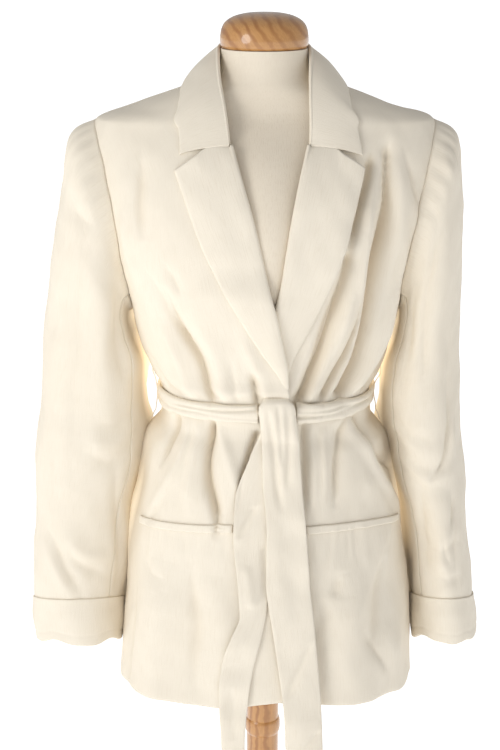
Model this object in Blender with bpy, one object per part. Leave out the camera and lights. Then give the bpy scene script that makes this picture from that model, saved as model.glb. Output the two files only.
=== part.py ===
"""A belted blazer that rests on a limbless dress form with a wooden cap, a steel rod and a wooden stand.

Metres, +Z up. The front faces -Y and the wearer's left is +X. The origin is the middle of the stand's
underside.

Every panel of the jacket's body lies on one surface of rings. A place on it is a turn, in degrees from the
front middle towards the wearer's left, and a height. The sleeves, collar and belt have surfaces of their own
that start from points of the body.
"""

import itertools
import math

import bmesh
import bpy
from mathutils import Vector

CLOTH = 0.0020  # wall of one layer
CUFF_CLOTH = 0.0028  # a turned-up cuff is two layers
STAND_CLOTH = 0.0015  # the pressed stand of the collar
SEAM_GAP = 0.0005  # between two panels that a seam joins
LAYER_GAP = 0.0015  # between a panel and what lies on it
FULLNESS = 2.3  # 2 is an ellipse, more is squarer

HEM_ROW = 0
UNDERARM_ROW = 10
SHOULDER_ROW = 20
FRONT_COLUMNS = 8
NECK_COLUMNS = 5  # half of the back neck

UNDERARM_Z = 1.195
SHOULDER_Z = 1.428
NECK_Z = 1.478
NECK_HALF_WIDTH = 0.0655
ROLL_BREAK_Z = 1.240  # where the underarm row meets the roll line
NECK_GATHER = 2.314  # rows crowd towards the shoulder seam by this power
BACK_MIDDLE_DROP = 0.263
BACK_GATHER = 1.3
SLIGHT_TURN = 0.5  # degrees and metres between the neighbours that give a face's direction
SLIGHT_RISE = 0.0005
UNIT_GRID = 0.5  # half a side of the flat grid that a cloth starts as
WELD = 1e-6

LINEN_WHITE = (0.92, 0.89, 0.79, 1.0)
FORM_LINEN = (0.72, 0.68, 0.60, 1.0)
PINE = (0.62, 0.29, 0.09, 1.0)
STEEL = (0.75, 0.76, 0.78, 1.0)


class Table:
    """Sizes against the first column, a row for each section, with a smooth curve between rows."""

    def __init__(self, columns, *rows):
        self.columns = columns.split()
        self.rows = rows

    def slope(self, k, c):
        rows = self.rows
        before, after = max(0, k - 1), min(len(rows) - 1, k + 1)
        steps = [(rows[k][0] - rows[before][0]), (rows[after][0] - rows[k][0])]
        rises = [rows[k][c] - rows[before][c], rows[after][c] - rows[k][c]]
        if 0 in steps:
            return sum(rises) / sum(steps)
        first, second = rises[0] / steps[0], rises[1] / steps[1]
        if first * second <= 0:
            return 0.0
        return sum(steps) / (steps[1] / first + steps[0] / second)

    def at(self, where, column):
        c = self.columns.index(column)
        rows = self.rows
        if where <= rows[0][0]:
            return rows[0][c]
        if where >= rows[-1][0]:
            return rows[-1][c]
        k = next(k for k in range(len(rows) - 1) if rows[k + 1][0] >= where)
        gap = rows[k + 1][0] - rows[k][0]
        t = (where - rows[k][0]) / gap
        start, end = self.slope(k, c) * gap, self.slope(k + 1, c) * gap
        return (
            (2 * t**3 - 3 * t**2 + 1) * rows[k][c]
            + (t**3 - 2 * t**2 + t) * start
            + (3 * t**2 - 2 * t**3) * rows[k + 1][c]
            + (t**3 - t**2) * end
        )


# Rings of the jacket's outer face, from below the hem to just past the neck opening.
BODY = Table(
    "z centre half_width front back",
    (0.690, 0.0035, 0.1955, 0.140, 0.133),
    (0.790, 0.0050, 0.1880, 0.135, 0.130),
    (0.850, 0.0060, 0.1805, 0.131, 0.127),
    (0.910, 0.0055, 0.1730, 0.126, 0.122),
    (0.975, 0.0040, 0.1580, 0.120, 0.116),
    (1.030, 0.0040, 0.1490, 0.113, 0.111),
    (1.057, 0.0025, 0.1314, 0.108, 0.1070),
    (1.080, 0.0025, 0.1307, 0.108, 0.107),
    (1.104, 0.0025, 0.1340, 0.109, 0.107),
    (1.130, 0.0030, 0.1475, 0.111, 0.107),
    (1.175, 0.0015, 0.1625, 0.117, 0.110),
    (1.225, 0.0010, 0.1725, 0.123, 0.113),
    (1.270, 0.0010, 0.1870, 0.125, 0.115),
    (1.330, 0.0020, 0.2030, 0.118, 0.112),
    (1.385, 0.0020, 0.2100, 0.100, 0.100),
    (1.428, 0.0010, 0.2035, 0.078, 0.082),
    (1.447, 0.0000, 0.1515, 0.072, 0.074),
    (1.467, 0.0000, 0.0960, 0.066, 0.067),
    (1.478, 0.0000, 0.0655, 0.061, 0.062),
    (1.482, 0.0000, 0.0546, 0.059, 0.060),
)

# How far the armhole seam lies inside the ring's side.
ARMHOLE = Table(
    "z inset",
    (1.195, 0.0000),
    (1.225, 0.0045),
    (1.262, 0.0100),
    (1.325, 0.0180),
    (1.376, 0.0155),
    (1.400, 0.0110),
    (1.428, 0.0000),
)

# Heights of the rows of points below the underarm, at the side seam and at the front edge or back middle.
LOW_ROWS = Table(
    "row side edge middle",
    (0, 0.694, 0.712, 0.700),
    (1, 0.775, 0.787, 0.775),
    (2, 0.850, 0.860, 0.850),
    (3, 0.915, 0.925, 0.915),
    (4, 0.975, 0.985, 0.975),
    (5, 1.025, 1.036, 1.027),
    (6, 1.063, 1.073, 1.065),
    (7, 1.092, 1.102, 1.094),
    (8, 1.108, 1.118, 1.110),
    (9, 1.145, 1.168, 1.150),
    (10, 1.195, 1.240, 1.215),
)

# The front edge, then the roll line, then the neckline of each front.
RIGHT_EDGE = Table(
    "z x",
    (0.700, 0.0410),
    (0.900, 0.0380),
    (1.050, 0.0340),
    (1.105, 0.0300),
    (1.135, 0.0270),
    (1.209, 0.0123),
    (1.275, -0.0043),
    (1.331, -0.0171),
    (1.405, -0.0400),
    (1.430, -0.0460),
    (1.449, -0.0515),
    (1.463, -0.0565),
    (1.472, -0.0612),
    (1.477, -0.0645),
    (1.478, -0.0655),
)
LEFT_EDGE = Table(
    "z x",
    (0.700, -0.0360),
    (1.050, -0.0340),
    (1.105, -0.0220),
    (1.135, -0.0060),
    (1.209, 0.0123),
    (1.228, 0.0192),
    (1.312, 0.0327),
    (1.385, 0.0465),
    (1.405, 0.0520),
    (1.430, 0.0525),
    (1.449, 0.0548),
    (1.463, 0.0580),
    (1.472, 0.0618),
    (1.477, 0.0645),
    (1.478, 0.0655),
)

# Lapels: a row is a step from the bottom to the gorge, with both ends of the row.
RIGHT_LAPEL = Table(
    "row roll_z roll_x edge_z edge_x",
    (0, 1.142, 0.0245, 1.138, 0.0165),
    (1, 1.172, 0.0190, 1.166, -0.0020),
    (2, 1.209, 0.0115, 1.200, -0.0220),
    (3, 1.245, 0.0020, 1.235, -0.0430),
    (4, 1.285, -0.0070, 1.270, -0.0620),
    (5, 1.325, -0.0165, 1.308, -0.0800),
    (6, 1.365, -0.0285, 1.345, -0.0930),
    (7, 1.406, -0.0405, 1.379, -0.1045),
)
LEFT_LAPEL = Table(
    "row roll_z roll_x edge_z edge_x",
    (0, 1.142, -0.0030, 1.130, 0.0235),
    (1, 1.172, 0.0040, 1.160, 0.0360),
    (2, 1.209, 0.0125, 1.195, 0.0540),
    (3, 1.245, 0.0220, 1.230, 0.0700),
    (4, 1.285, 0.0285, 1.270, 0.0860),
    (5, 1.325, 0.0350, 1.308, 0.0980),
    (6, 1.365, 0.0430, 1.345, 0.1080),
    (7, 1.406, 0.0530, 1.381, 0.1155),
)
LAPEL_ROWS = 7
NOTCH_RISE = 0.0065  # the gorge end stands this far above the straight line to the lapel's point
LAPEL_ROLL = 0.0030  # how far the lapel bows off the front
NARROW_ROLL = 0.05  # and at most this share of its width

# How far the upper front stands off where it crosses the lower front and, higher, that front's lapel.
CROSSING_LIFT = 0.0036
CROSSING_X = -0.100
CROSSING_EASE = 0.058
CROSSING_TOP_Z = 1.275
CROSSING_TOP_EASE = 0.045
LAPEL_LIFT = 0.0044
LAPEL_FOOT_Z = 1.102
LAPEL_FOOT_EASE = 0.016

# Collar: a step for each row of the neckline from the gorge to the shoulder, then each column of the back
# neck. The crest is the roll line. The rim of the fall is a turn and a height on the body.
COLLAR = Table(
    "step crest_x crest_y crest_z rim_turn rim_z",
    (0, 0.0475, -0.0905, 1.4090, 30.4, 1.3960),
    (1, 0.0495, -0.0830, 1.4330, 30.2, 1.4090),
    (2, 0.0515, -0.0720, 1.4560, 30.5, 1.4240),
    (3, 0.0540, -0.0575, 1.4760, 35.1, 1.4370),
    (4, 0.0560, -0.0400, 1.4930, 44.7, 1.4500),
    (5, 0.0572, -0.0200, 1.5060, 61.4, 1.4610),
    (6, 0.0575, 0.0000, 1.5125, 90.0, 1.4665),
    (7, 0.0547, 0.0200, 1.5160, 122.0, 1.4625),
    (8, 0.0465, 0.0365, 1.5180, 140.0, 1.4580),
    (9, 0.0338, 0.0495, 1.5195, 153.6, 1.4545),
    (10, 0.0178, 0.0575, 1.5205, 167.4, 1.4520),
    (11, 0.0000, 0.0600, 1.5210, 180.0, 1.4515),
)
COLLAR_SHOULDER_STEP = 6
COLLAR_MIDDLE_STEP = 11
COLLAR_SHIFT = 0.0060  # the collar's front ends sit this far to the wearer's left of the neck
COLLAR_SHIFT_STEPS = 4
COLLAR_NEARBY = (0.05, 0.02)
COLLAR_BOW = 0.0020
RIM_GAP = 0.0018  # between the collar's rim and the shoulder
STAND_TUCK = 0.0026  # the stand's top lies this far inside the crest
STAND_DROP = 0.0015

# Sleeves: a ring for each row, from the armhole to the hem, by its ends nearest to and furthest from the
# body.
RIGHT_SLEEVE = Table(
    "row in_x in_z out_x out_z depth back",
    (0, 0.1665, 1.195, 0.2035, 1.428, 0.058, 0.000),
    (1, 0.1675, 1.189, 0.2330, 1.404, 0.065, 0.000),
    (2, 0.1670, 1.178, 0.2500, 1.335, 0.066, 0.000),
    (3, 0.1625, 1.155, 0.2620, 1.262, 0.063, 0.002),
    (4, 0.1530, 1.115, 0.2740, 1.180, 0.058, 0.004),
    (5, 0.1530, 1.065, 0.2870, 1.075, 0.054, 0.005),
    (6, 0.1560, 1.000, 0.2940, 1.000, 0.052, 0.005),
    (7, 0.1740, 0.930, 0.2985, 0.930, 0.051, 0.005),
    (8, 0.1820, 0.860, 0.3015, 0.860, 0.049, 0.004),
    (9, 0.1905, 0.794, 0.3040, 0.794, 0.047, 0.003),
    (10, 0.1945, 0.735, 0.2975, 0.735, 0.045, 0.002),
)
LEFT_SLEEVE = Table(
    "row in_x in_z out_x out_z depth back",
    (0, 0.1675, 1.195, 0.2035, 1.428, 0.058, 0.000),
    (1, 0.1685, 1.191, 0.2340, 1.405, 0.065, 0.000),
    (2, 0.1680, 1.179, 0.2430, 1.335, 0.067, 0.000),
    (3, 0.1640, 1.155, 0.2465, 1.262, 0.065, 0.002),
    (4, 0.1545, 1.115, 0.2475, 1.180, 0.062, 0.004),
    (5, 0.1530, 1.065, 0.2510, 1.075, 0.061, 0.005),
    (6, 0.1640, 1.000, 0.2580, 1.000, 0.061, 0.005),
    (7, 0.1830, 0.930, 0.2645, 0.930, 0.061, 0.005),
    (8, 0.1945, 0.860, 0.2725, 0.860, 0.060, 0.004),
    (9, 0.2010, 0.800, 0.2780, 0.800, 0.059, 0.003),
    (10, 0.2055, 0.742, 0.2810, 0.742, 0.057, 0.002),
)
SLEEVE_ROWS = (0, 0.5, 1, 1.5, 2, 3, 4, 5, 6, 7, 8, 9, 10)
SLEEVE_STEPS = 20  # round the sleeve, two for each row of the armhole
FRONT_SEAM_STEP = 8
BACK_SEAM_STEP = 13
SLEEVE_NEARBY = (0.02, 0.01)
ARMHOLE_REACH = 2.0  # rows over which the sleeve turns from the armhole's shape into its own
CUFF_TOP_ROW = 9
END_TILT = 0.016  # a sleeve's end stands this much higher in front than in its middle
TILT_ROW = 6
TILT_ROWS = 3.0
CUFF_DROP = 0.0012  # the cuff's fold lies this far below the sleeve's end

# Pocket welts, by their lower edges.
RIGHT_WELT = Table("turn z", (-73.0, 0.919), (-46.0, 0.929), (-31.0, 0.933), (-14.7, 0.938))
LEFT_WELT = Table("turn z", (16.1, 0.935), (31.0, 0.934), (51.0, 0.931), (75.0, 0.921))
WELT_STEPS = 8
WELT_HEIGHT = 0.0105
WELT_CLOTH = 0.0016

# The belt: 50 mm cloth crumpled round the waist, tied in front with both ends hanging.
BELT_FRONT_Z = 1.087
BELT_BACK_Z = 1.083
BELT_HALF_HEIGHT = 0.0130
BELT_TURNS = (15.6, 355.8)  # from one side of the knot round the back to the other
BELT_STEPS = 38
BELT_GAP = 0.0021
BELT_LIFT = 0.0036  # over the crossing of the fronts
BELT_CROWN = 0.0022
KNOT_LOW = (-0.0065, 1.076)
KNOT_HIGH = (0.0375, 1.106)
KNOT_BACK = 0.0022  # off the upper front's face
KNOT_FRONT = 0.0158
KNOT_ROUND = 0.0040
OVER_TAIL = Table(
    "z low_x high_x off",
    (0.600, 0.0290, 0.0750, 0.0062),
    (0.650, 0.0272, 0.0730, 0.0062),
    (0.700, 0.0250, 0.0712, 0.0062),
    (0.760, 0.0180, 0.0667, 0.0062),
    (0.808, 0.0115, 0.0624, 0.0062),
    (0.878, 0.0026, 0.0550, 0.0062),
    (0.943, 0.0030, 0.0501, 0.0062),
    (1.008, -0.0020, 0.0440, 0.0066),
    (1.050, -0.0026, 0.0405, 0.0120),
    (1.073, -0.0045, 0.0380, 0.0195),
    (1.092, -0.0060, 0.0360, 0.0205),
    (1.107, -0.0072, 0.0348, 0.0195),
    (1.112, -0.0075, 0.0345, 0.0120),
)
UNDER_TAIL = Table(
    "z low_x high_x off",
    (0.612, -0.0520, -0.0200, 0.0031),
    (0.652, -0.0525, -0.0234, 0.0031),
    (0.728, -0.0547, -0.0180, 0.0031),
    (0.774, -0.0495, -0.0100, 0.0031),
    (0.807, -0.0380, -0.0020, 0.0031),
    (0.832, -0.0290, 0.0030, 0.0031),
    (0.877, -0.0320, 0.0060, 0.0031),
    (0.926, -0.0365, 0.0073, 0.0031),
    (0.982, -0.0340, 0.0060, 0.0031),
    (1.030, -0.0180, 0.0180, 0.0033),
    (1.055, -0.0080, 0.0260, 0.0060),
    (1.073, -0.0020, 0.0300, 0.0110),
)
LOOP_RADIUS = 0.0014
LOOP_POINTS = 12
LOOP = Table(
    "step z off",
    (0, 1.118, 0.0019),
    (1, 1.108, 0.0080),
    (2, 1.080, 0.0098),
    (3, 1.052, 0.0085),
    (4, 1.040, 0.0022),
)

# The dress form.
FORM_TORSO = Table(
    "z centre half_width front back",
    (0.780, 0.0, 0.1490, 0.1000, 0.1040),
    (0.800, 0.0, 0.1560, 0.1080, 0.1110),
    (0.880, 0.0, 0.1540, 0.1090, 0.1110),
    (0.960, 0.0, 0.1420, 0.1050, 0.1060),
    (1.030, 0.0, 0.1240, 0.0980, 0.0980),
    (1.080, 0.0, 0.1180, 0.0930, 0.0930),
    (1.150, 0.0, 0.1320, 0.0990, 0.0960),
    (1.230, 0.0, 0.1490, 0.1090, 0.1010),
    (1.290, 0.0, 0.1580, 0.1080, 0.1000),
    (1.350, 0.0, 0.1660, 0.0960, 0.0940),
    (1.400, 0.0, 0.1750, 0.0760, 0.0780),
    (1.4235, 0.0, 0.1820, 0.0640, 0.0660),
    (1.4325, 0.0, 0.1700, 0.0590, 0.0610),
    (1.4440, 0.0, 0.1515, 0.0550, 0.0570),
    (1.4640, 0.0, 0.0955, 0.0530, 0.0540),
    (1.4730, 0.0, 0.0665, 0.0530, 0.0530),
    (1.4810, 0.0, 0.0575, 0.0520, 0.0520),
    (1.4920, 0.0, 0.0535, 0.0520, 0.0520),
    (1.5115, 0.0, 0.0520, 0.0520, 0.0520),
)
FORM_STEPS = 36
FORM_FULLNESS = 2.15
FORM_NECK_FULLNESS = 2.0
FORM_NECK_Z = 1.460
FORM_NECK_EASE = 0.020
CAP_PROFILE = (
    (0.0, 0.0),
    (0.0500, 0.0),
    (0.0525, 0.0030),
    (0.0533, 0.0100),
    (0.0522, 0.0190),
    (0.0490, 0.0275),
    (0.0420, 0.0340),
    (0.0300, 0.0388),
    (0.0150, 0.0411),
    (0.0, 0.0415),
)
ROD_RADIUS = 0.0140
ROD_FOOT_Z = 0.360
FLANGE_RADIUS = 0.0320
FLANGE_THICKNESS = 0.0050
BORE_RADIUS = 0.0146
BORE_FOOT_Z = 0.240
POLE_TOP_Z = 0.645
POLE_RADIUS = 0.0215
RIM_ROUND = 0.0020
BEAD_RADIUS = 0.0240
BEAD_Z = 0.605
BEAD_HALF_HEIGHT = 0.0110
BASE_PROFILE = (
    (0.0, 0.0),
    (0.1760, 0.0),
    (0.1800, 0.0040),
    (0.1800, 0.0140),
    (0.1760, 0.0190),
    (0.0500, 0.0240),
    (0.0, 0.0240),
)
POLE_FOOT_Z = 0.0243
TURNED_STEPS = 32


def clear_scene():
    for thing in list(bpy.data.objects):
        bpy.data.objects.remove(thing)


def finish_of(name, colour, roughness, metallic=0.0):
    material = bpy.data.materials.new(name)
    material.use_nodes = True
    shader = material.node_tree.nodes["Principled BSDF"]
    shader.inputs["Base Color"].default_value = colour
    shader.inputs["Roughness"].default_value = roughness
    shader.inputs["Metallic"].default_value = metallic
    return material


def keep(name, bm, material, crease=40):
    """Makes the named object of a bmesh, with its faces out and smooth up to the crease angle."""
    bmesh.ops.recalc_face_normals(bm, faces=bm.faces[:])
    mesh = bpy.data.meshes.new(name)
    bm.to_mesh(mesh)
    bm.free()
    mesh.shade_smooth()
    mesh.set_sharp_from_angle(angle=math.radians(crease))
    mesh.materials.append(material)
    thing = bpy.data.objects.new(name, mesh)
    bpy.context.scene.collection.objects.link(thing)
    return thing


def pulled_in(points, columns, rows, closed):
    """The same grid of points, its edges drawn in by half a seam gap."""
    drawn = dict(points)
    for (i, j), point in points.items():
        inner_i = 1 if i == 0 else columns - 1 if i == columns else i
        inner_j = 1 if j == 0 else rows - 1 if j == rows else j
        if not closed and inner_i != i:
            drawn[i, j] = drawn[i, j] + (points[inner_i, j] - point).normalized() * (SEAM_GAP / 2)
        if inner_j != j:
            drawn[i, j] = drawn[i, j] + (points[i, inner_j] - point).normalized() * (SEAM_GAP / 2)
    return drawn


def cloth(name, columns, rows, spot, material, wall=CLOTH, closed=False):
    """A wall of cloth on a grid. spot(column, row, out) is a point of its outer face, moved out."""
    last_column, last_row = len(columns) - 1, len(rows) - 1
    faces = []
    for out in (0.0, -wall):
        places = itertools.product(range(last_column + 1), range(last_row + 1))
        points = {(i, j): spot(columns[i], rows[j], out) for i, j in places}
        faces.append(pulled_in(points, last_column, last_row, closed))
    bm = bmesh.new()
    bmesh.ops.create_grid(bm, x_segments=last_column, y_segments=last_row, size=UNIT_GRID)
    column_of = bm.verts.layers.int.new("column")
    row_of = bm.verts.layers.int.new("row")
    for vert in bm.verts:
        vert[column_of] = round((vert.co.x + UNIT_GRID) * last_column)
        vert[row_of] = round((vert.co.y + UNIT_GRID) * last_row)
        vert.co = faces[0][vert[column_of], vert[row_of]]
    if closed:
        bmesh.ops.remove_doubles(bm, verts=bm.verts[:], dist=WELD)
    grid = bm.verts[:] + bm.edges[:] + bm.faces[:]
    grown = bmesh.ops.extrude_face_region(bm, geom=grid, use_keep_orig=True)
    for vert in grown["geom"]:
        if isinstance(vert, bmesh.types.BMVert):
            vert.co = faces[1][vert[column_of], vert[row_of]]
    return keep(name, bm, material)


def between(start, end, t):
    return start + (end - start) * t


def steps(start, end, count):
    return [between(start, end, k / count) for k in range(count + 1)]


def eased(t):
    t = min(1.0, max(0.0, t))
    return t * t * (3 - 2 * t)


def hump(t):
    """0 at both ends and 1 in the middle."""
    return 4 * t * (1 - t)


def ring_face(table, turn, z, fullness):
    across, forward = math.sin(math.radians(turn)), math.cos(math.radians(turn))
    depth = table.at(z, "front" if forward >= 0 else "back")
    reach = max(0.0, 1 - abs(across) ** fullness) ** (1 / fullness)
    x = table.at(z, "centre") + table.at(z, "half_width") * across
    return Vector((x, -math.copysign(depth * reach, forward), z))


def body_spot(turn, z, out=0.0):
    """A point of the jacket's body, moved out along the face."""
    point = ring_face(BODY, turn, z, FULLNESS)
    left = ring_face(BODY, turn + SLIGHT_TURN, z, FULLNESS)
    right = ring_face(BODY, turn - SLIGHT_TURN, z, FULLNESS)
    above = ring_face(BODY, turn, z + SLIGHT_RISE, FULLNESS)
    below = ring_face(BODY, turn, z - SLIGHT_RISE, FULLNESS)
    return point + (left - right).cross(above - below).normalized() * out


def turn_at(x, z):
    """The turn at which the front of the body is at this x."""
    across = (x - BODY.at(z, "centre")) / BODY.at(z, "half_width")
    return math.degrees(math.asin(min(1.0, max(-1.0, across))))


def armhole_place(side, angle):
    """(turn, z) on the armhole seam: 0 is the shoulder, 90 the front, 180 the underarm, 270 the back."""
    z = between(UNDERARM_Z, SHOULDER_Z, (1 + math.cos(math.radians(angle))) / 2)
    half_width = BODY.at(z, "half_width")
    turn = math.degrees(math.asin(min(1.0, 1 - ARMHOLE.at(z, "inset") / half_width)))
    if angle % 360 > 180:
        turn = 180 - turn
    return side * turn, z


def side_place(side, row, face):
    """(turn, z) on the side seam, or above it on the front or back half of the armhole."""
    if row <= UNDERARM_ROW:
        return side * 90.0, LOW_ROWS.at(row, "side")
    angle = 180 * (SHOULDER_ROW - row) / (SHOULDER_ROW - UNDERARM_ROW)
    return armhole_place(side, angle if face == "front" else 360 - angle)


def neck_row_z(row):
    below = (SHOULDER_ROW - row) / (SHOULDER_ROW - UNDERARM_ROW)
    return NECK_Z - (NECK_Z - ROLL_BREAK_Z) * below**NECK_GATHER


def edge_place(edge, row):
    """(turn, z) on the front edge, roll line or neckline."""
    z = LOW_ROWS.at(row, "edge") if row <= UNDERARM_ROW else neck_row_z(row)
    return turn_at(edge.at(z, "x"), z), z


def crossing(x):
    """0 at the wearer's right side, 1 where the fronts cross."""
    return eased((x - CROSSING_X) / CROSSING_EASE)


def front_lift(x, z):
    """How far the upper front stands off the body's surface."""
    over_lapel = eased((z - LAPEL_FOOT_Z) / LAPEL_FOOT_EASE)
    low = eased((CROSSING_TOP_Z - z) / CROSSING_TOP_EASE)
    return crossing(x) * low * (CROSSING_LIFT + LAPEL_LIFT * over_lapel)


def front_spot(side, column, row, out):
    edge = LEFT_EDGE if side > 0 else RIGHT_EDGE
    inner_turn, inner_z = edge_place(edge, row)
    outer_turn, outer_z = side_place(side, row, "front")
    t = column / FRONT_COLUMNS
    turn, z = between(inner_turn, outer_turn, t), between(inner_z, outer_z, t)
    if side < 0:
        out += front_lift(body_spot(turn, z).x, z)
    return body_spot(turn, z, out)


def back_spot(column, row, out):
    """Columns count from the middle of the back, positive to the wearer's left, five to the neck corner."""
    side = 1 if column >= 0 else -1
    step = abs(column)
    neck_share = NECK_COLUMNS / (NECK_COLUMNS + FRONT_COLUMNS)
    outer_turn, outer_z = side_place(1, row, "back")
    low_turn = 180 - 90 * neck_share
    if row <= UNDERARM_ROW:
        corner_turn = low_turn
        middle_z = LOW_ROWS.at(row, "middle")
        straight_z = between(LOW_ROWS.at(UNDERARM_ROW, "middle"), UNDERARM_Z, neck_share)
        rise = eased(row / UNDERARM_ROW) * (ROLL_BREAK_Z - straight_z)
        corner_z = between(middle_z, LOW_ROWS.at(row, "side"), neck_share) + rise
    else:
        below = (SHOULDER_ROW - row) / (SHOULDER_ROW - UNDERARM_ROW)
        corner_z = neck_row_z(row)
        low_x = BODY.at(ROLL_BREAK_Z, "half_width") * math.sin(math.radians(low_turn))
        corner_x = between(NECK_HALF_WIDTH, low_x, below**2)
        corner_turn = 180 - math.degrees(math.asin(min(1.0, corner_x / BODY.at(corner_z, "half_width"))))
        middle_z = NECK_Z - BACK_MIDDLE_DROP * below**BACK_GATHER
    if step <= NECK_COLUMNS:
        t = step / NECK_COLUMNS
        turn, z = between(180.0, corner_turn, t), between(middle_z, corner_z, t)
    else:
        t = (step - NECK_COLUMNS) / FRONT_COLUMNS
        turn, z = between(corner_turn, outer_turn, t), between(corner_z, outer_z, t)
    return body_spot(side * turn, z, out)


def lapel_spot(side, column, row, out):
    """column runs from 0 at the roll line to 1 at the lapel's edge."""
    table = LEFT_LAPEL if side > 0 else RIGHT_LAPEL
    x = between(table.at(row, "roll_x"), table.at(row, "edge_x"), column)
    z = between(table.at(row, "roll_z"), table.at(row, "edge_z"), column)
    z += NOTCH_RISE * (1 - abs(2 * column - 1)) * max(0.0, row - LAPEL_ROWS + 1)
    width = abs(table.at(row, "edge_x") - table.at(row, "roll_x"))
    bow = min(LAPEL_ROLL, NARROW_ROLL * width) * hump(column)
    lift = front_lift(x, z) if side < 0 else 0.0
    return body_spot(turn_at(x, z), z, lift + LAYER_GAP + CLOTH + bow + out)


def collar_side(place):
    """(side, step) for a place from 0 at the right gorge, over the back, to the left gorge."""
    if place <= COLLAR_MIDDLE_STEP:
        return -1, place
    return 1, 2 * COLLAR_MIDDLE_STEP - place


def collar_shift(step):
    return COLLAR_SHIFT * eased(1 - step / COLLAR_SHIFT_STEPS)


def collar_crest(place):
    side, step = collar_side(place)
    x = side * COLLAR.at(step, "crest_x") + collar_shift(step)
    return Vector((x, COLLAR.at(step, "crest_y"), COLLAR.at(step, "crest_z")))


def collar_rim(place):
    side, step = collar_side(place)
    spot = body_spot(side * COLLAR.at(step, "rim_turn"), COLLAR.at(step, "rim_z"), RIM_GAP + CLOTH)
    return spot + Vector((collar_shift(step), 0.0, 0.0))


def neckline(place):
    """A point of the neck seam on the body's outer face."""
    side, step = collar_side(place)
    if step > COLLAR_SHOULDER_STEP:
        share = (step - COLLAR_SHOULDER_STEP) / NECK_COLUMNS
        return body_spot(side * between(90, 180, share), NECK_Z)
    edge = LEFT_EDGE if side > 0 else RIGHT_EDGE
    return body_spot(*edge_place(edge, SHOULDER_ROW - COLLAR_SHOULDER_STEP + step))


def moved_out(face, u, v, out, nearby, facing=1):
    """face(u, v) moved out along its own normal, which its neighbours give. facing is -1 to turn it round."""
    along_u = face(u + nearby[0], v) - face(u - nearby[0], v)
    along_v = face(u, v + nearby[1]) - face(u, v - nearby[1])
    return face(u, v) + along_u.cross(along_v).normalized() * (out * facing)


def stand_spot(place, height, out):
    """height runs from 0 at the neck seam to 1 at the top of the stand."""

    def face(place, height):
        crest = collar_crest(place)
        inward = Vector((-crest.x, -crest.y, 0)).normalized() * STAND_TUCK
        seam = neckline(place) + Vector((0, 0, SEAM_GAP))
        return seam.lerp(crest + inward - Vector((0, 0, STAND_DROP)), height)

    return moved_out(face, place, height, out, COLLAR_NEARBY, -1)


def fall_spot(place, width, out):
    """width runs from 0 at the crest to 1 at the rim."""

    def face(place, width):
        bow = Vector((0, 0, COLLAR_BOW * hump(width)))
        return collar_crest(place).lerp(collar_rim(place), width) + bow

    return moved_out(face, place, width, out, COLLAR_NEARBY)


def sleeve_face(side, angle, row):
    table = LEFT_SLEEVE if side > 0 else RIGHT_SLEEVE
    row = max(0.0, row)
    across, forward = math.cos(math.radians(angle)), math.sin(math.radians(angle))

    def ring(at_row):
        size = {name: table.at(at_row, name) for name in table.columns}
        x = (size["in_x"] + size["out_x"]) / 2 + across * (size["out_x"] - size["in_x"]) / 2
        z = (size["in_z"] + size["out_z"]) / 2 + across * (size["out_z"] - size["in_z"]) / 2
        z += END_TILT * eased((at_row - TILT_ROW) / TILT_ROWS) * forward
        return Vector((side * x, size["back"] - size["depth"] * forward, z))

    spot = ring(row)
    if row < ARMHOLE_REACH:
        turn, z = armhole_place(side, angle % 360)
        spot += (body_spot(turn, z) - ring(0)) * (1 - row / ARMHOLE_REACH) ** 2
    return spot


def sleeve_spot(side, step, row, out):
    """step counts round the sleeve from its outer side over the front."""

    def face(step, row):
        return sleeve_face(side, step * 360 / SLEEVE_STEPS, row)

    return moved_out(face, step, row, out, SLEEVE_NEARBY, side)


def cuff_spot(side, step, row, out):
    spot = sleeve_spot(side, step, row, SEAM_GAP + CUFF_CLOTH + out)
    return spot - Vector((0, 0, CUFF_DROP if row == SLEEVE_ROWS[-1] else 0))


def welt_spot(side, turn, height, out):
    table = LEFT_WELT if side > 0 else RIGHT_WELT
    z = table.at(turn, "z") + WELT_HEIGHT * height
    lift = front_lift(body_spot(turn, z).x, z) if side < 0 else 0.0
    return body_spot(turn, z, lift + SEAM_GAP + WELT_CLOTH + out)


def belt_spot(turn, height, out):
    """height runs from -1 to 1 across the crumpled belt."""
    middle = between(BELT_BACK_Z, BELT_FRONT_Z, (1 + math.cos(math.radians(turn))) / 2)
    z = middle + BELT_HALF_HEIGHT * height
    x = body_spot(turn, z).x
    lift = BELT_LIFT * crossing(x) * crossing(-x) if math.cos(math.radians(turn)) > 0 else 0.0
    crown = BELT_CROWN * (1 - height**2) if out == 0 else 0.0
    return body_spot(turn, z, lift + BELT_GAP + CLOTH + crown + out)


def tail_spot(table, column, z, out):
    x = between(table.at(z, "low_x"), table.at(z, "high_x"), column)
    off = table.at(z, "off") + CROSSING_LIFT * crossing(x)
    return body_spot(turn_at(x, z), z, off + out)


def knot(material):
    low, high = Vector((KNOT_LOW[0], 0, KNOT_LOW[1])), Vector((KNOT_HIGH[0], 0, KNOT_HIGH[1]))
    middle = (low + high) / 2
    face = body_spot(turn_at(middle.x, middle.z), middle.z, CROSSING_LIFT).y
    low.y, high.y = face - KNOT_FRONT, face - KNOT_BACK
    bm = bmesh.new()
    bmesh.ops.create_cube(bm, size=1.0)
    for vert in bm.verts:
        vert.co = Vector(between(low[k], high[k], vert.co[k] + 0.5) for k in range(3))
    bmesh.ops.bevel(
        bm,
        geom=bm.edges[:],
        offset=KNOT_ROUND,
        segments=2,
        profile=0.5,
        affect="EDGES",
        clamp_overlap=True,
        material=-1,
    )
    return keep("belt_knot", bm, material, 80)


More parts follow.
